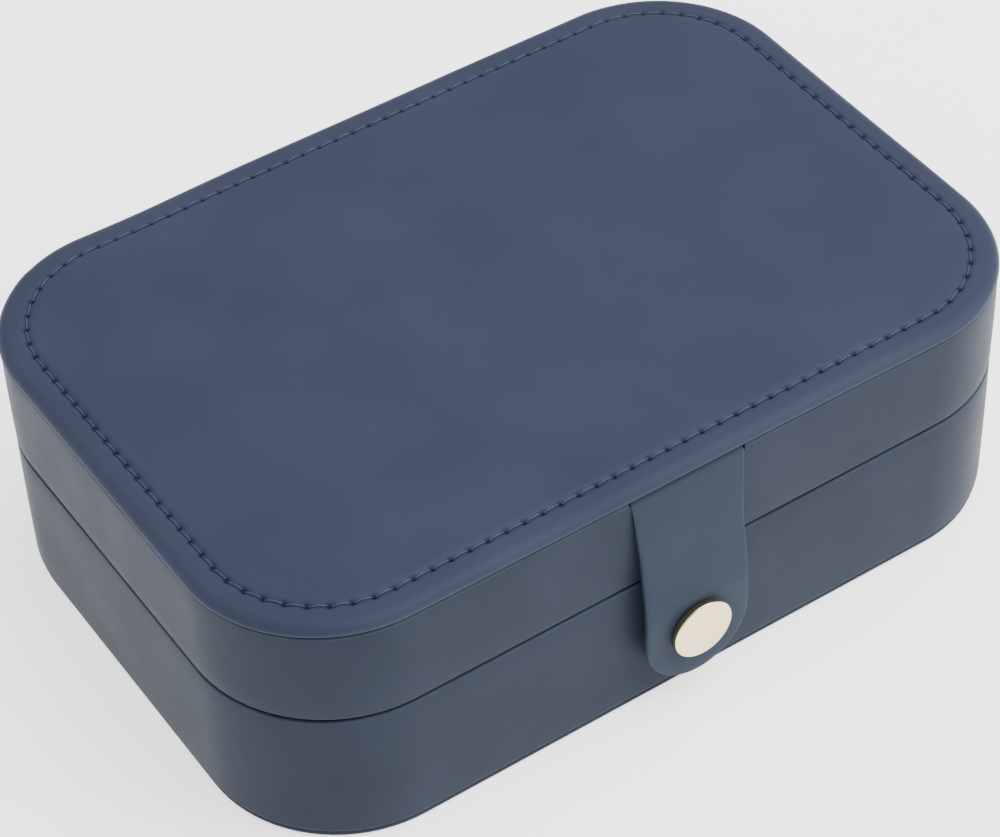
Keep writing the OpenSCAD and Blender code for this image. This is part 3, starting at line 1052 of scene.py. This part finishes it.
@dataclass
class BottomPanel:
    """Leather-wrapped panel under the case."""

    case: CaseSizes
    inset: float = 0.3
    thickness: float = 0.5

    def build(self) -> Object:
        """Leather shell under its board."""
        loft = Loft(self.case.outline(long_spans=12, side_spans=8))
        board, top = self.inset + self.thickness, self.case.bottom_z
        loft.rings([(CORE, self.thickness), (board, self.thickness), (board, top), (self.inset + 0.15, top),
                    (self.inset, top - 0.18), (self.inset - 0.04, 0.75), (self.inset + 0.03, 0.38),
                    (self.inset + 0.22, 0.14), (self.inset + 0.55, 0.02), (self.inset + 1.2, 0.0),
                    (CORE, 0.0)])
        return finish_piece("bottom_panel_leather", loft.close_bowl(), Finishes.cover, Slot.LEATHER,
                            ("bottom_leather",), Body.BASE)


@dataclass
class Hinge:
    """Back leather that bends as the hinge, and the lining that spans the gap inside."""

    case: CaseSizes
    bend_half: float = 1.5
    crease: float = 0.3
    lining_reach: float = 7.0
    lining_t: float = 0.8

    def strip(self, half: float, y: float, low: float, high: float, thickness: float) -> BMesh:
        """Upright strip of cloth or leather across the back, with many rows near the hinge.

        Args:
            half: Half its width.
            y: Its outer face.
            low: Its lower edge.
            high: Its upper edge.
            thickness: How thick it is, inwards.
        Returns:
            The mesh.
        """
        bm = flat_shape(2 * half, high - low, (0, (low + high) / 2), 0.3, 2)
        thicken(bm, thickness, 0.12, 2)
        middle = self.case.gap_z
        cut(bm, 1, [middle + 0.25 * k for k in range(-10, 11)])
        cut(bm, 1, [z for z in steps(low + 1, high - 1, 12) if abs(z - middle) > 3])
        cut(bm, 0, steps(-half + 1, half - 1, 20))
        reshape(bm, lambda p: Vector((p.x, y - thickness + p.z, p.y)))
        face_out(bm)
        return bm

    def bind(self, piece: Object) -> None:
        """Bakes a strip's transform into its mesh."""
        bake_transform(piece)

    def build(self) -> None:
        """Builds the back leather and the hinge lining."""
        middle = self.case.gap_z
        leather = self.strip(self.case.window, self.case.half_d, self.case.bottom_z, self.case.panel_z,
                             self.case.leather)

        def press(p: Vector) -> Vector:
            sink = self.crease * bell(p.z - middle, 0.7)
            sink += 0.06 * soft_noise(p, 20, 4.2) * (1 - bell(p.z - middle, 3))
            return Vector((p.x, p.y - sink, p.z))

        reshape(leather, press)
        back = finish_piece("back_hinge_leather", leather, Finishes.cover, Slot.LEATHER, ("back_leather",))
        self.bind(back)
        inner = self.case.half_d - self.case.cover
        cloth = self.strip(self.case.hinge_half, inner, self.case.base_rim - self.lining_reach,
                           self.case.lid_rim + self.lining_reach, self.lining_t)
        reshape(cloth, lambda p: Vector((p.x, p.y + 0.25 * bell(p.z - middle, 0.6), p.z)))
        lining = finish_piece("inner_hinge_lining", cloth, Finishes.suede, Slot.SUEDE, ("hinge_lining",))
        self.bind(lining)


# ---------------------------------------------------------------- strap and snap


@dataclass
class Strap:
    """Closing strap of two leather layers, glued into the lid's wall at its root."""

    case: CaseSizes
    half: float = 11.0
    snap_z: float = 17.0
    tip_drop: float = 0.6
    backing_t: float = 0.7
    total_t: float = 1.5
    root_share: float = 0.6
    skive_run: float = 14.0
    taper_run: float = 16.0
    root_sink: float = 0.76
    snap_gap: float = 2.35
    bend_r: float = 0.12
    root_reach: float = 3.2
    flat_z: float = 23.0
    early_lift: float = 1.4
    flattening: float = 0.18
    corners: list[Vector] = field(default_factory=list)

    def __post_init__(self) -> None:
        """Works out the line of the strap's inner face, in the YZ plane, from root to tip."""
        face = -self.case.half_d
        root_z = self.case.panel_z - self.total_t * self.root_share - 0.04
        near_y, far_y = face + self.root_sink, face - self.snap_gap
        self.corners = [Vector((0, face + self.root_reach, root_z))]
        for turn in steps(0, QUARTER, 6):
            self.corners.append(Vector((0, near_y + self.bend_r * (1 - math.sin(turn)),
                                        root_z - self.bend_r * (1 - math.cos(turn)))))
        bend_z = self.corners[-1].z
        for share in steps(0, 1, 48)[1:]:
            lift_off = (share ** 1.5 - self.flattening * share ** 6) / (1 - self.flattening)
            lift_off += self.early_lift * share * (1 - share) ** 5
            self.corners.append(Vector((0, near_y + (far_y - near_y) * lift_off,
                                        bend_z + (self.flat_z - bend_z) * share)))
        self.corners.append(Vector((0, far_y, self.snap_z - self.tip_drop - self.half)))

    def skived(self, run: float) -> float:
        """Share of the full thickness at a distance from the root, where the leather is pared."""
        share = min(1.0, run / self.skive_run)
        return self.root_share + (1 - self.root_share) * share * share * (3 - 2 * share)

    def taper(self, run: float) -> float:
        """Share of the nominal width at a distance from the root, where it is wider."""
        share = min(1.0, run / self.taper_run)
        return 1.1 - 0.12 * share ** 0.7

    def length(self) -> float:
        """Length of the strap along its inner face."""
        return sum((b - a).length for a, b in zip(self.corners, self.corners[1:]))

    def on_path(self, run: float, height: float) -> Vector:
        """Point in the YZ plane that follows the strap's inner face.

        Args:
            run: Distance along the face from the root.
            height: Height above the face.
        Returns:
            The point.
        """
        for a, b in zip(self.corners, self.corners[1:]):
            span = (b - a).length
            if run <= span or b is self.corners[-1]:
                break
            run -= span
        way = (b - a) / span
        ahead = self.corners[min(len(self.corners) - 1, self.corners.index(b) + 1)]
        turn = min(1.0, max(0.0, run / span))
        nxt = (ahead - b).normalized() if ahead is not b else way
        prev = self.corners[max(0, self.corners.index(a) - 1)]
        before = (a - prev).normalized() if prev is not a else way
        mean = ((before + way).normalized() * (1 - turn) + (way + nxt).normalized() * turn).normalized()
        normal = Vector((0, mean.z, -mean.y))
        return a + way * run + normal * height

    def layer(self, name: str, inner: float, outer: float, rim: float, finish: Finish,
              stands_for: tuple[str, ...], shrink: float) -> Object:
        """One layer of the strap.

        Args:
            name: The piece's name.
            inner: Height of its inner face above the strap's.
            outer: Height of its outer face.
            rim: Radius of its cut edges.
            finish: Its leather.
            stands_for: The CAD nodes that it replaces.
            shrink: How far its outline lies inside the strap's.
        Returns:
            The object, bent along the strap's path from its root in the lid's wall to its tip.
        """
        half, long = self.half - shrink, self.length()
        bm = flat_shape(2 * half, long - shrink, (0, (long - shrink) / 2), 0, 1)
        tip = [v for v in bm.verts if v.co.y > long / 2]
        round_over(bm, tip, half * 0.9995, 20, "VERTICES")
        bmesh.ops.remove_doubles(bm, verts=bm.verts, dist=0.05)
        thicken(bm, outer - inner, rim, 3)
        edge = bm.verts.layers.float.new("cut_edge")
        middle = (outer - inner) / 2
        for vert in bm.verts:
            vert[edge] = 1.0 if abs(vert.co.z - middle) < middle - rim * 0.35 else 0.0
        starts = [0.0]
        for a, b in zip(self.corners, self.corners[1:-1]):
            starts.append(starts[-1] + (b - a).length)
        cut(bm, 1, starts[1:] + steps(starts[-1] + 1.5, long - 2, 10))
        cut(bm, 0, steps(-half + 0.9, half - 0.9, 12))

        def bend(p: Vector) -> Vector:
            at = self.on_path(p.y, (inner + p.z) * self.skived(p.y))
            free = min(1.0, max(0.0, (p.y - 4) / 8))
            sag = free * (0.1 * soft_noise(Vector((p.x, p.y, 0)), 13, 6.3) - 0.12 * (abs(p.x) / half) ** 2)
            press = 0.16 * bell(max(0.0, math.hypot(p.x, at.z - self.snap_z) - 6.0), 1.3) * (free > 0.9)
            return Vector((p.x * self.taper(p.y), at.y + press - sag, at.z))

        reshape(bm, bend)
        face_out(bm)
        piece = finish_piece(name, bm, finish, Slot.LEATHER, stands_for)
        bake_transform(piece)
        return piece

    def build(self) -> None:
        """Builds both layers."""
        self.layer("strap_outer_leather", self.backing_t + 0.02, self.total_t, 0.24, Finishes.strap,
                   ("strap_leather", "strap_root"), 0.0)
        self.layer("strap_backing_leather", 0.0, self.backing_t - 0.02, 0.16, Finishes.backing,
                   ("strap_backing",), 0.18)


@dataclass
class Snap:
    """Press snap: cap, socket and spring ring on the strap, stud and rivet on the base."""

    case: CaseSizes
    centre_z: float = 17.0
    strap_face: float = 3.85

    def turned(self, name: str, node: str, off: float, profile: list[tuple[float, float]], body: Body,
               segments: int = 72) -> Object:
        """Turned part of the snap.

        Args:
            name: The piece's name.
            node: The CAD node that it replaces.
            off: Distance of the profile's zero height from the front wall.
            profile: Radius and height of each point.
            body: What it rides on.
            segments: Faces round the turn.
        Returns:
            The object.
        """
        bm = lathe(profile, segments)
        outwards = Matrix.Translation((0, -self.case.half_d - off, self.centre_z)) @ Matrix.Rotation(
            QUARTER, 4, "X")
        bmesh.ops.transform(bm, matrix=outwards, verts=bm.verts)
        return finish_piece(name, bm, Finishes.nickel, Slot.NICKEL, (node,), body, 50)

    def build(self) -> None:
        """Builds the turned parts and finishes the ring and the rivet."""
        self.turned("snap_cap_disc", "snap_cap", self.strap_face, [
            (0, -1.8), (1.3, -1.8), (1.5, -1.6), (1.5, -0.12), (5.55, -0.12), (5.75, 0.0), (5.86, 0.2),
            (5.93, 0.6), (6.03, 0.98), (6.1, 1.2), (6.1, 1.32), (6.04, 1.42), (5.93, 1.5), (5.78, 1.545),
            (5.66, 1.55), (5.56, 1.515), (5.44, 1.555), (4.0, 1.61), (2.0, 1.64), (0, 1.65)], Body.STRAP, 96)
        self.turned("snap_socket_cup", "snap_socket", 0.65, [
            (0, 1.42), (2.2, 1.42), (2.25, 1.36), (2.25, 0.12), (2.4, 0.02), (3.3, 0.0), (3.55, 0.12),
            (3.75, 0.5), (4.1, 0.72), (4.9, 0.78), (5.35, 0.84), (5.5, 1.0), (5.5, 1.5), (5.38, 1.66),
            (5.2, 1.7), (0, 1.7)], Body.STRAP)
        self.turned("snap_stud_post", "snap_stud", 0.0, [
            (0, 0.02), (4.8, 0.02), (5.0, 0.12), (5.0, 0.3), (4.85, 0.45), (4.5, 0.5), (2.3, 0.5),
            (1.85, 0.62), (1.7, 0.8), (1.7, 1.12), (1.95, 1.22), (2.1, 1.4), (2.1, 1.6), (1.95, 1.78),
            (1.65, 1.85), (0, 1.85)], Body.BASE)
        dress_node("snap_spring", Finishes.spring, Slot.SPRING)
        dress_node("stud_rivet", Finishes.nickel, Slot.NICKEL)


def dress_node(node: str, finish: Finish, slot: Slot) -> None:
    """Gives a CAD node that stays its material."""
    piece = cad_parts[node]
    piece.data.materials.clear()
    piece.data.materials.append(finish.material())
    LOG.info("%s: CAD node dressed as %s", node, finish.name)


# ---------------------------------------------------------------- inside of the base


@dataclass
class Lining:
    """Suede lining of the base or of the lid, cut back behind the hinge lining."""

    case: CaseSizes
    name: str
    node: str
    rim: Rim
    rim_z: float
    floor_z: float
    rows: tuple[float, ...]
    body: Body
    seed: float
    thickness: float = 0.8
    lap: float = 7.05
    pillow: float = 0.06
    pillow_mm: float = 18.0

    def settle(self, foot: Footing, inset: float, z: float) -> tuple[float, float]:
        """Cuts the lining back at the hinge and lets its walls pillow a little.

        Args:
            foot: Where along the outline.
            inset: Inset on a flat wall.
            z: Height without the cut.
        Returns:
            The inset and the height.
        """
        way = self.rim.value
        edge = self.rim_z - way * self.lap
        if foot.out.y > 0.9 and abs(foot.place.x) < self.case.hinge_half + 0.02 and way * (z - edge) > 0:
            z = edge
        if way * (z - self.floor_z) > 1.5:
            inset += self.pillow * soft_noise(foot.at(0, z), self.pillow_mm, self.seed)
        return inset, z

    def build(self) -> Object:
        """Floor and walls, turned over at the rim and closed behind."""
        half, way = self.case.hinge_half, self.rim.value
        wall, cover = self.case.wall, self.case.cover
        loft = Loft(self.case.outline(cuts_x=(-half - 0.1, -half, half, half + 0.1)))
        floor = [(CORE, 0), (wall + 2.4, 0), (wall + 1.1, 0.12), (wall + 0.35, 0.5), (wall + 0.05, 1.2),
                 (wall, 2)]
        rim = [(wall, 7.5), (wall, 3), (wall, 0.5), (wall - 0.08, 0.22), (wall - 0.3, 0.06),
               (cover + 0.12, 0.02), (cover + 0.02, 0.1)]
        back = self.floor_z - way * self.thickness
        loft.rings([*((inset, self.floor_z + way * rise) for inset, rise in floor),
                    *((wall, z) for z in self.rows),
                    *((inset, self.rim_z - way * drop) for inset, drop in rim),
                    (cover + 0.02, back), (CORE, back)], self.settle)
        return finish_piece(self.name, loft.close_bowl(), Finishes.suede, Slot.SUEDE, (self.node,), self.body)


@dataclass
class Tray:
    """Suede lining of the base, its dividers and its ring rolls."""

    case: CaseSizes
    floor_z: float = 4.3
    roll_count: int = 8
    roll_x: tuple[float, float] = (22.1, 78.1)
    roll_top: float = 22.3
    roll_inset: float = 4.4
    roll_rim: float = 1.3
    divider_span: float = 5.0
    divider_fit: float = 0.05

    def divider(self, node: str) -> Object:
        """Board wrapped in suede, between the walls.

        Args:
            node: The CAD node that it replaces.
        Returns:
            The object.
        """
        low, high = box_mm(node)
        size = high - low
        spans = tuple(max(1, round(s / self.divider_span)) for s in size)
        fit = Vector((self.divider_fit, self.divider_fit, 0))
        bm = soft_block(low + fit, high - fit, 1.1, spans)
        thin = 0 if size.x < size.y else 1

        def uneven(p: Vector) -> Vector:
            p[thin] += 0.12 * soft_noise(p, 16, 2.7) * bell(p.z - high.z, 14)
            p.z += 0.1 * soft_noise(Vector((p.x, p.y, 0)), 12, 5.1) * (p.z > high.z - 2)
            return p

        reshape(bm, uneven)
        return finish_piece(f"{node}_suede", bm, Finishes.suede, Slot.SUEDE, (node,), Body.BASE)

    def roll_end(self, y: float) -> float:
        """How far a roll reaches in X at a place across the tray, where the corners are round."""
        radius = self.case.corner_r - self.roll_inset
        past = abs(y) - (self.case.half_d - self.case.corner_r)
        reach = self.case.half_w - self.case.corner_r
        return min(self.roll_x[1], reach + math.sqrt(max(0.0, radius * radius - max(0.0, past) ** 2)))

    def roll(self, number: int) -> Object:
        """One velvet-covered ring roll: a foam bar with a round top and soft ends.

        Args:
            number: Its number, from 1.
        Returns:
            The object.
        """
        node = f"ring_roll_{number}"
        low, high = box_mm(node)
        centre, half = (low.y + high.y) / 2, (high.y - low.y) / 2
        start, end = self.roll_x
        bm = plain_block(Vector((start, centre - half, self.floor_z)),
                         Vector((end, centre + half, self.roll_top)))
        ridges = [e for e in bm.edges if all(v.co.z > self.floor_z + 1 for v in e.verts)
                  and abs(e.verts[0].co.x - e.verts[1].co.x) > 1]
        round_over(bm, ridges, half * 0.995, 12)
        bmesh.ops.remove_doubles(bm, verts=bm.verts, dist=0.05)
        round_rims(bm, self.roll_rim, 4)
        cut(bm, 0, steps(start + 2, end - 2, 22))
        cut(bm, 2, (8.0, 12.0))

        def stuff(p: Vector) -> Vector:
            share = (p.x - start) / (end - start)
            x = start + share * (self.roll_end(p.y) - start)
            plump = 0.16 * soft_noise(Vector((x, p.y * 0.5 + number * 31, p.z)), 9, 1.9)
            z = p.z + plump * (p.z > 12)
            return Vector((x, centre + (p.y - centre) * (1 - 0.012 * (1 + plump * 4)), z))

        reshape(bm, stuff)
        face_out(bm)
        piece = finish_piece(f"velvet_roll_{number}", bm, Finishes.velvet, Slot.VELVET, (node,), Body.BASE)
        return piece

    def build(self) -> None:
        """Builds everything inside the base."""
        Lining(self.case, "tray_suede_lining", "base_lining", Rim.UP, self.case.base_rim, self.floor_z,
               (12, 18), Body.BASE, 9.0).build()
        for node in ("cross_divider", "long_divider", "short_divider"):
            self.divider(node)
        for number in range(1, self.roll_count + 1):
            self.roll(number)


# ---------------------------------------------------------------- inside of the lid


@dataclass
class LidInside:
    """Lining of the lid, its strip of necklace hooks and its gathered pocket."""

    case: CaseSizes
    ceiling: float = 50.7
    hook_count: int = 5
    hook_foot_r: float = 2.4
    hook_bend: float = 1.3
    hook_start: float = 0.7
    hook_drop: float = 4.2
    hook_reach: float = 3.4
    wire_r: float = 0.8
    pocket_half: float = 52.0
    pocket_y: tuple[float, float] = (9.5, 47.5)
    pocket_z: float = 47.4
    hem_depth: float = 4.0
    cloth_t: float = 0.5
    gathers: int = 30
    soft_deg: float = 80.0

    def strip(self) -> Object:
        """Leather strip that carries the hooks, with round ends."""
        low, high = box_mm("hook_strip")
        size, middle = high - low, (low + high) / 2
        bm = flat_shape(size.x, size.y, (0, 0), size.y / 2 - 0.3, 10)
        thicken(bm, size.z, 0.3, 3)
        bmesh.ops.translate(bm, vec=(middle.x, middle.y, low.z), verts=bm.verts)
        return finish_piece("hook_strip_leather", bm, Finishes.backing, Slot.LEATHER, ("hook_strip",),
                            Body.LID)

    def strip_stitching(self) -> Object:
        """Two rows of stitches that hold the strip on the lining."""
        low, high = box_mm("hook_strip")
        bm = bmesh.new()
        for y in (low.y + 1.6, high.y - 1.6):
            for x in steps(low.x + 7, high.x - 11, 21):
                start = Vector((x + 0.2, y - 0.1, low.z + 0.15))
                add_stitch(bm, start, start + Vector((3.5, 0.2, 0)), 0.35, 0.25, Vector((0, 0, -1)))
        return finish_piece("hook_strip_stitching", bm, Finishes.thread, Slot.THREAD, (), Body.LID, 60)

    def hook(self, number: int) -> Object:
        """One hook: a riveted foot, a bent wire and a ball on its tip.

        Args:
            number: Its number, from 1.
        Returns:
            The object.
        """
        node = f"necklace_hook_{number}"
        low, high = box_mm(node)
        bend, start = self.hook_bend, self.hook_start
        bm = lathe([(0, 0), (2.2, 0), (2.4, -0.15), (2.38, -0.35), (2.1, -0.55), (1.3, -0.62), (1.05, -0.8),
                    (0.9, -1.05), (0, -1.05)], 32)
        stem = bmesh.ops.create_circle(bm, cap_ends=True, segments=16, radius=self.wire_r,
                                       matrix=Matrix.Translation((0, 0, -start)))["verts"]
        edges = list({e for v in stem for e in v.link_edges if set(e.verts) <= set(stem)})

        def draw(edges: list[BMEdge], vec: tuple[float, float, float]) -> list:
            grown = bmesh.ops.extrude_edge_only(bm, edges=edges)["geom"]
            verts = {g for g in grown if isinstance(g, BMVert)}
            bmesh.ops.translate(bm, vec=vec, verts=list(verts))
            return [g for g in grown if isinstance(g, BMEdge) and set(g.verts) <= verts]

        edges = draw(edges, (0, 0, bend + start - self.hook_drop))
        verts = list({v for e in edges for v in e.verts})
        last = bmesh.ops.spin(bm, geom=verts + edges, cent=(0, -bend, bend - self.hook_drop), axis=(1, 0, 0),
                              angle=-QUARTER, steps=8, use_merge=False)["geom_last"]
        edges = draw([g for g in last if isinstance(g, BMEdge)], (0, bend - self.hook_reach, 0))
        bmesh.ops.edgeloop_fill(bm, edges=edges)
        ball = bmesh.ops.create_uvsphere(bm, u_segments=20, v_segments=12, radius=self.wire_r + 0.25)["verts"]
        bmesh.ops.translate(bm, vec=(0, -self.hook_reach, -self.hook_drop), verts=ball)
        face_out(bm)
        at = ((low.x + high.x) / 2, high.y - self.hook_foot_r, high.z)
        bmesh.ops.translate(bm, vec=at, verts=bm.verts)
        return finish_piece(f"brass_hook_{number}", bm, Finishes.nickel, Slot.NICKEL, (node,), Body.LID, 50)

    def drop(self, x: float, share: float) -> float:
        """How far the pocket hangs below the ceiling, from 0 where it is sewn down to 1."""
        side = min(1.0, max(0.0, (self.pocket_half - abs(x)) / 5.0))
        back = min(1.0, max(0.0, (1 - share) / 0.14))
        return (1 - (1 - side) ** 2) ** 0.5 * (1 - (1 - back) ** 2) ** 0.5

    def fold(self, x: float, share: float) -> float:
        """Height of the gathers, deepest at the hem and gone at the back."""
        wander = 2.2 * noise.noise(Vector((x / 17, share * 1.5, 3.0)))
        pace = math.pi * self.gathers / self.pocket_half
        wave = math.sin(pace * (x + wander))
        fine = 0.35 * math.sin(pace * 1.63 * (x - wander) + 1.0)
        return (wave + fine) * (0.85 * (1 - share) ** 1.3 + 0.06)

    def pocket(self) -> tuple[Object, Object]:
        """Pocket cloth, gathered into an elastic hem.

        Returns:
            The cloth and the hem.
        """
        start, end = self.pocket_y
        inside = self.pocket_half - 0.3
        hang = self.ceiling - self.pocket_z - 0.35
        bm = bmesh.new()
        bmesh.ops.create_grid(bm, x_segments=260, y_segments=26, size=1.0)

        def drape(p: Vector) -> Vector:
            x, share = p.x * inside, (p.y + 1) / 2
            low = self.drop(x, share)
            z = self.ceiling - 0.35 - hang * low + self.fold(x, share) * low
            return Vector((x, start - 0.4 + (end - 0.3 - start) * share, min(self.ceiling - 0.3, z)))

        reshape(bm, drape)
        bmesh.ops.solidify(bm, geom=bm.faces[:], thickness=self.cloth_t)
        face_out(bm)
        cloth = finish_piece("gathered_pocket", bm, Finishes.suede, Slot.SUEDE, ("pocket_cloth",), Body.LID,
                             self.soft_deg)
        band = soft_block(Vector((-inside, start - self.hem_depth, -0.7)), Vector((inside, start + 0.2, 0.7)),
                          0.5, (150, 2, 1))

        def ruffle(p: Vector) -> Vector:
            low = self.drop(p.x, 0.0)
            z = self.ceiling - 0.75 - (hang - 0.4) * low + p.z + 0.55 * self.fold(p.x, 0.0) * low
            return Vector((p.x, p.y, min(z, self.ceiling - 0.05)))

        reshape(band, ruffle)
        face_out(band)
        hem = finish_piece("elastic_pocket_hem", band, Finishes.hem, Slot.ELASTIC, ("pocket_hem",), Body.LID,
                           self.soft_deg)
        return cloth, hem

    def build(self) -> None:
        """Builds everything inside the lid."""
        Lining(self.case, "lid_suede_lining", "lid_lining", Rim.DOWN, self.case.lid_rim, self.ceiling, (44,),
               Body.LID, 7.0).build()
        self.strip()
        self.strip_stitching()
        for number in range(1, self.hook_count + 1):
            self.hook(number)
        self.pocket()


# ---------------------------------------------------------------- studio


@dataclass(frozen=True)
class Softbox:
    """Square soft light that faces the case."""

    name: str
    azimuth: float
    elevation: float
    distance: float
    size: float
    watts: float

    def build(self, aim: Vector) -> None:
        """Makes the light, turned to a point.

        Args:
            aim: The point.
        """
        lamp = bpy.data.lights.new(self.name, "AREA")
        lamp.shape, lamp.size, lamp.energy = "SQUARE", self.size, self.watts
        holder = place_object(self.name, lamp)
        back = direction(self.azimuth, self.elevation)
        holder.location = aim + back * self.distance
        holder.rotation_euler = back.to_track_quat("Z", "Y").to_euler()


def direction(azimuth: float, elevation: float) -> Vector:
    """Unit vector from the case to something at an azimuth and elevation in degrees."""
    a, e = math.radians(azimuth), math.radians(elevation)
    return Vector((math.sin(a) * math.cos(e), -math.cos(a) * math.cos(e), math.sin(e)))


@dataclass
class Studio:
    """White table, soft light and the camera."""

    aim: Vector = field(default_factory=lambda: Vector((-5.27, -6.12, 27.5)) * MM)
    camera_azimuth: float = -32.19
    camera_elevation: float = 44.50
    camera_roll: float = -2.49
    camera_distance: float = 0.5967
    lens: float = 117.52
    floor_radius: float = 3.0
    table_glow: float = 1.4
    sky: float = 0.9
    lights: tuple[Softbox, ...] = (
        Softbox("overhead_softbox", 60, 68, 1.3, 1.2, 27),
        Softbox("right_softbox", 52, 28, 1.3, 0.6, 11),
        Softbox("left_softbox", -128, 20, 1.3, 0.9, 4.2),
    )

    def floor(self) -> None:
        """Pale round table top, lit from within as a product table is."""
        bm = bmesh.new()
        bmesh.ops.create_circle(bm, cap_ends=True, segments=96, radius=self.floor_radius)
        mesh = bpy.data.meshes.new("studio_floor")
        bm.to_mesh(mesh)
        bm.free()
        material = Finishes.floor.material()
        shader = material.node_tree.nodes["Principled BSDF"]
        shader.inputs["Emission Color"].default_value = linear("#ffffff")
        shader.inputs["Emission Strength"].default_value = self.table_glow
        mesh.materials.append(material)
        place_object("studio_floor", mesh)

    def world(self) -> None:
        """Even white surroundings."""
        world = bpy.data.worlds.new("studio_surroundings")
        world.use_nodes = True
        back = world.node_tree.nodes["Background"]
        back.inputs["Color"].default_value = linear("#ffffff")
        back.inputs["Strength"].default_value = self.sky
        bpy.context.scene.world = world

    def camera(self) -> None:
        """Camera over the near left corner of the case."""
        lens = bpy.data.cameras.new("case_camera")
        lens.lens, lens.sensor_width, lens.clip_start = self.lens, 36.0, 0.01
        camera = place_object("case_camera", lens)
        back = direction(self.camera_azimuth, self.camera_elevation)
        camera.location = self.aim + back * self.camera_distance
        turn = back.to_track_quat("Z", "Y") @ Quaternion((0, 0, 1), math.radians(self.camera_roll))
        camera.rotation_euler = turn.to_euler()
        bpy.context.scene.camera = camera

    def build(self) -> None:
        """Sets up the studio."""
        self.camera()
        self.world()
        self.floor()
        for light in self.lights:
            light.build(self.aim)


def main() -> None:
    """Builds the case sub-assembly by sub-assembly, then the studio."""
    logging.basicConfig(level=logging.INFO, format="%(name)s: %(message)s")
    case = CaseSizes.from_frame()
    TopPanel(case).build()
    WallCover(case, "lid_cover_leather", "lid_wall_leather", Rim.DOWN, case.lid_rim, case.panel_z, Body.LID,
              seed=1.0, notch_half=12.1, notch_z=case.panel_z - 0.98).build()
    WallCover(case, "base_cover_leather", "base_wall_leather", Rim.UP, case.base_rim, case.bottom_z,
              Body.BASE, seed=4.0).build()
    BottomPanel(case).build()
    Hinge(case).build()
    Strap(case).build()
    Snap(case).build()
    Tray(case).build()
    LidInside(case).build()
    for node in ("bottom_board", "base_wall_board", "base_floor_board", "lid_wall_board", "lid_top_board"):
        dress_node(node, Finishes.board, Slot.BOARD)
    Studio().build()


if __name__ == "__main__":
    main()
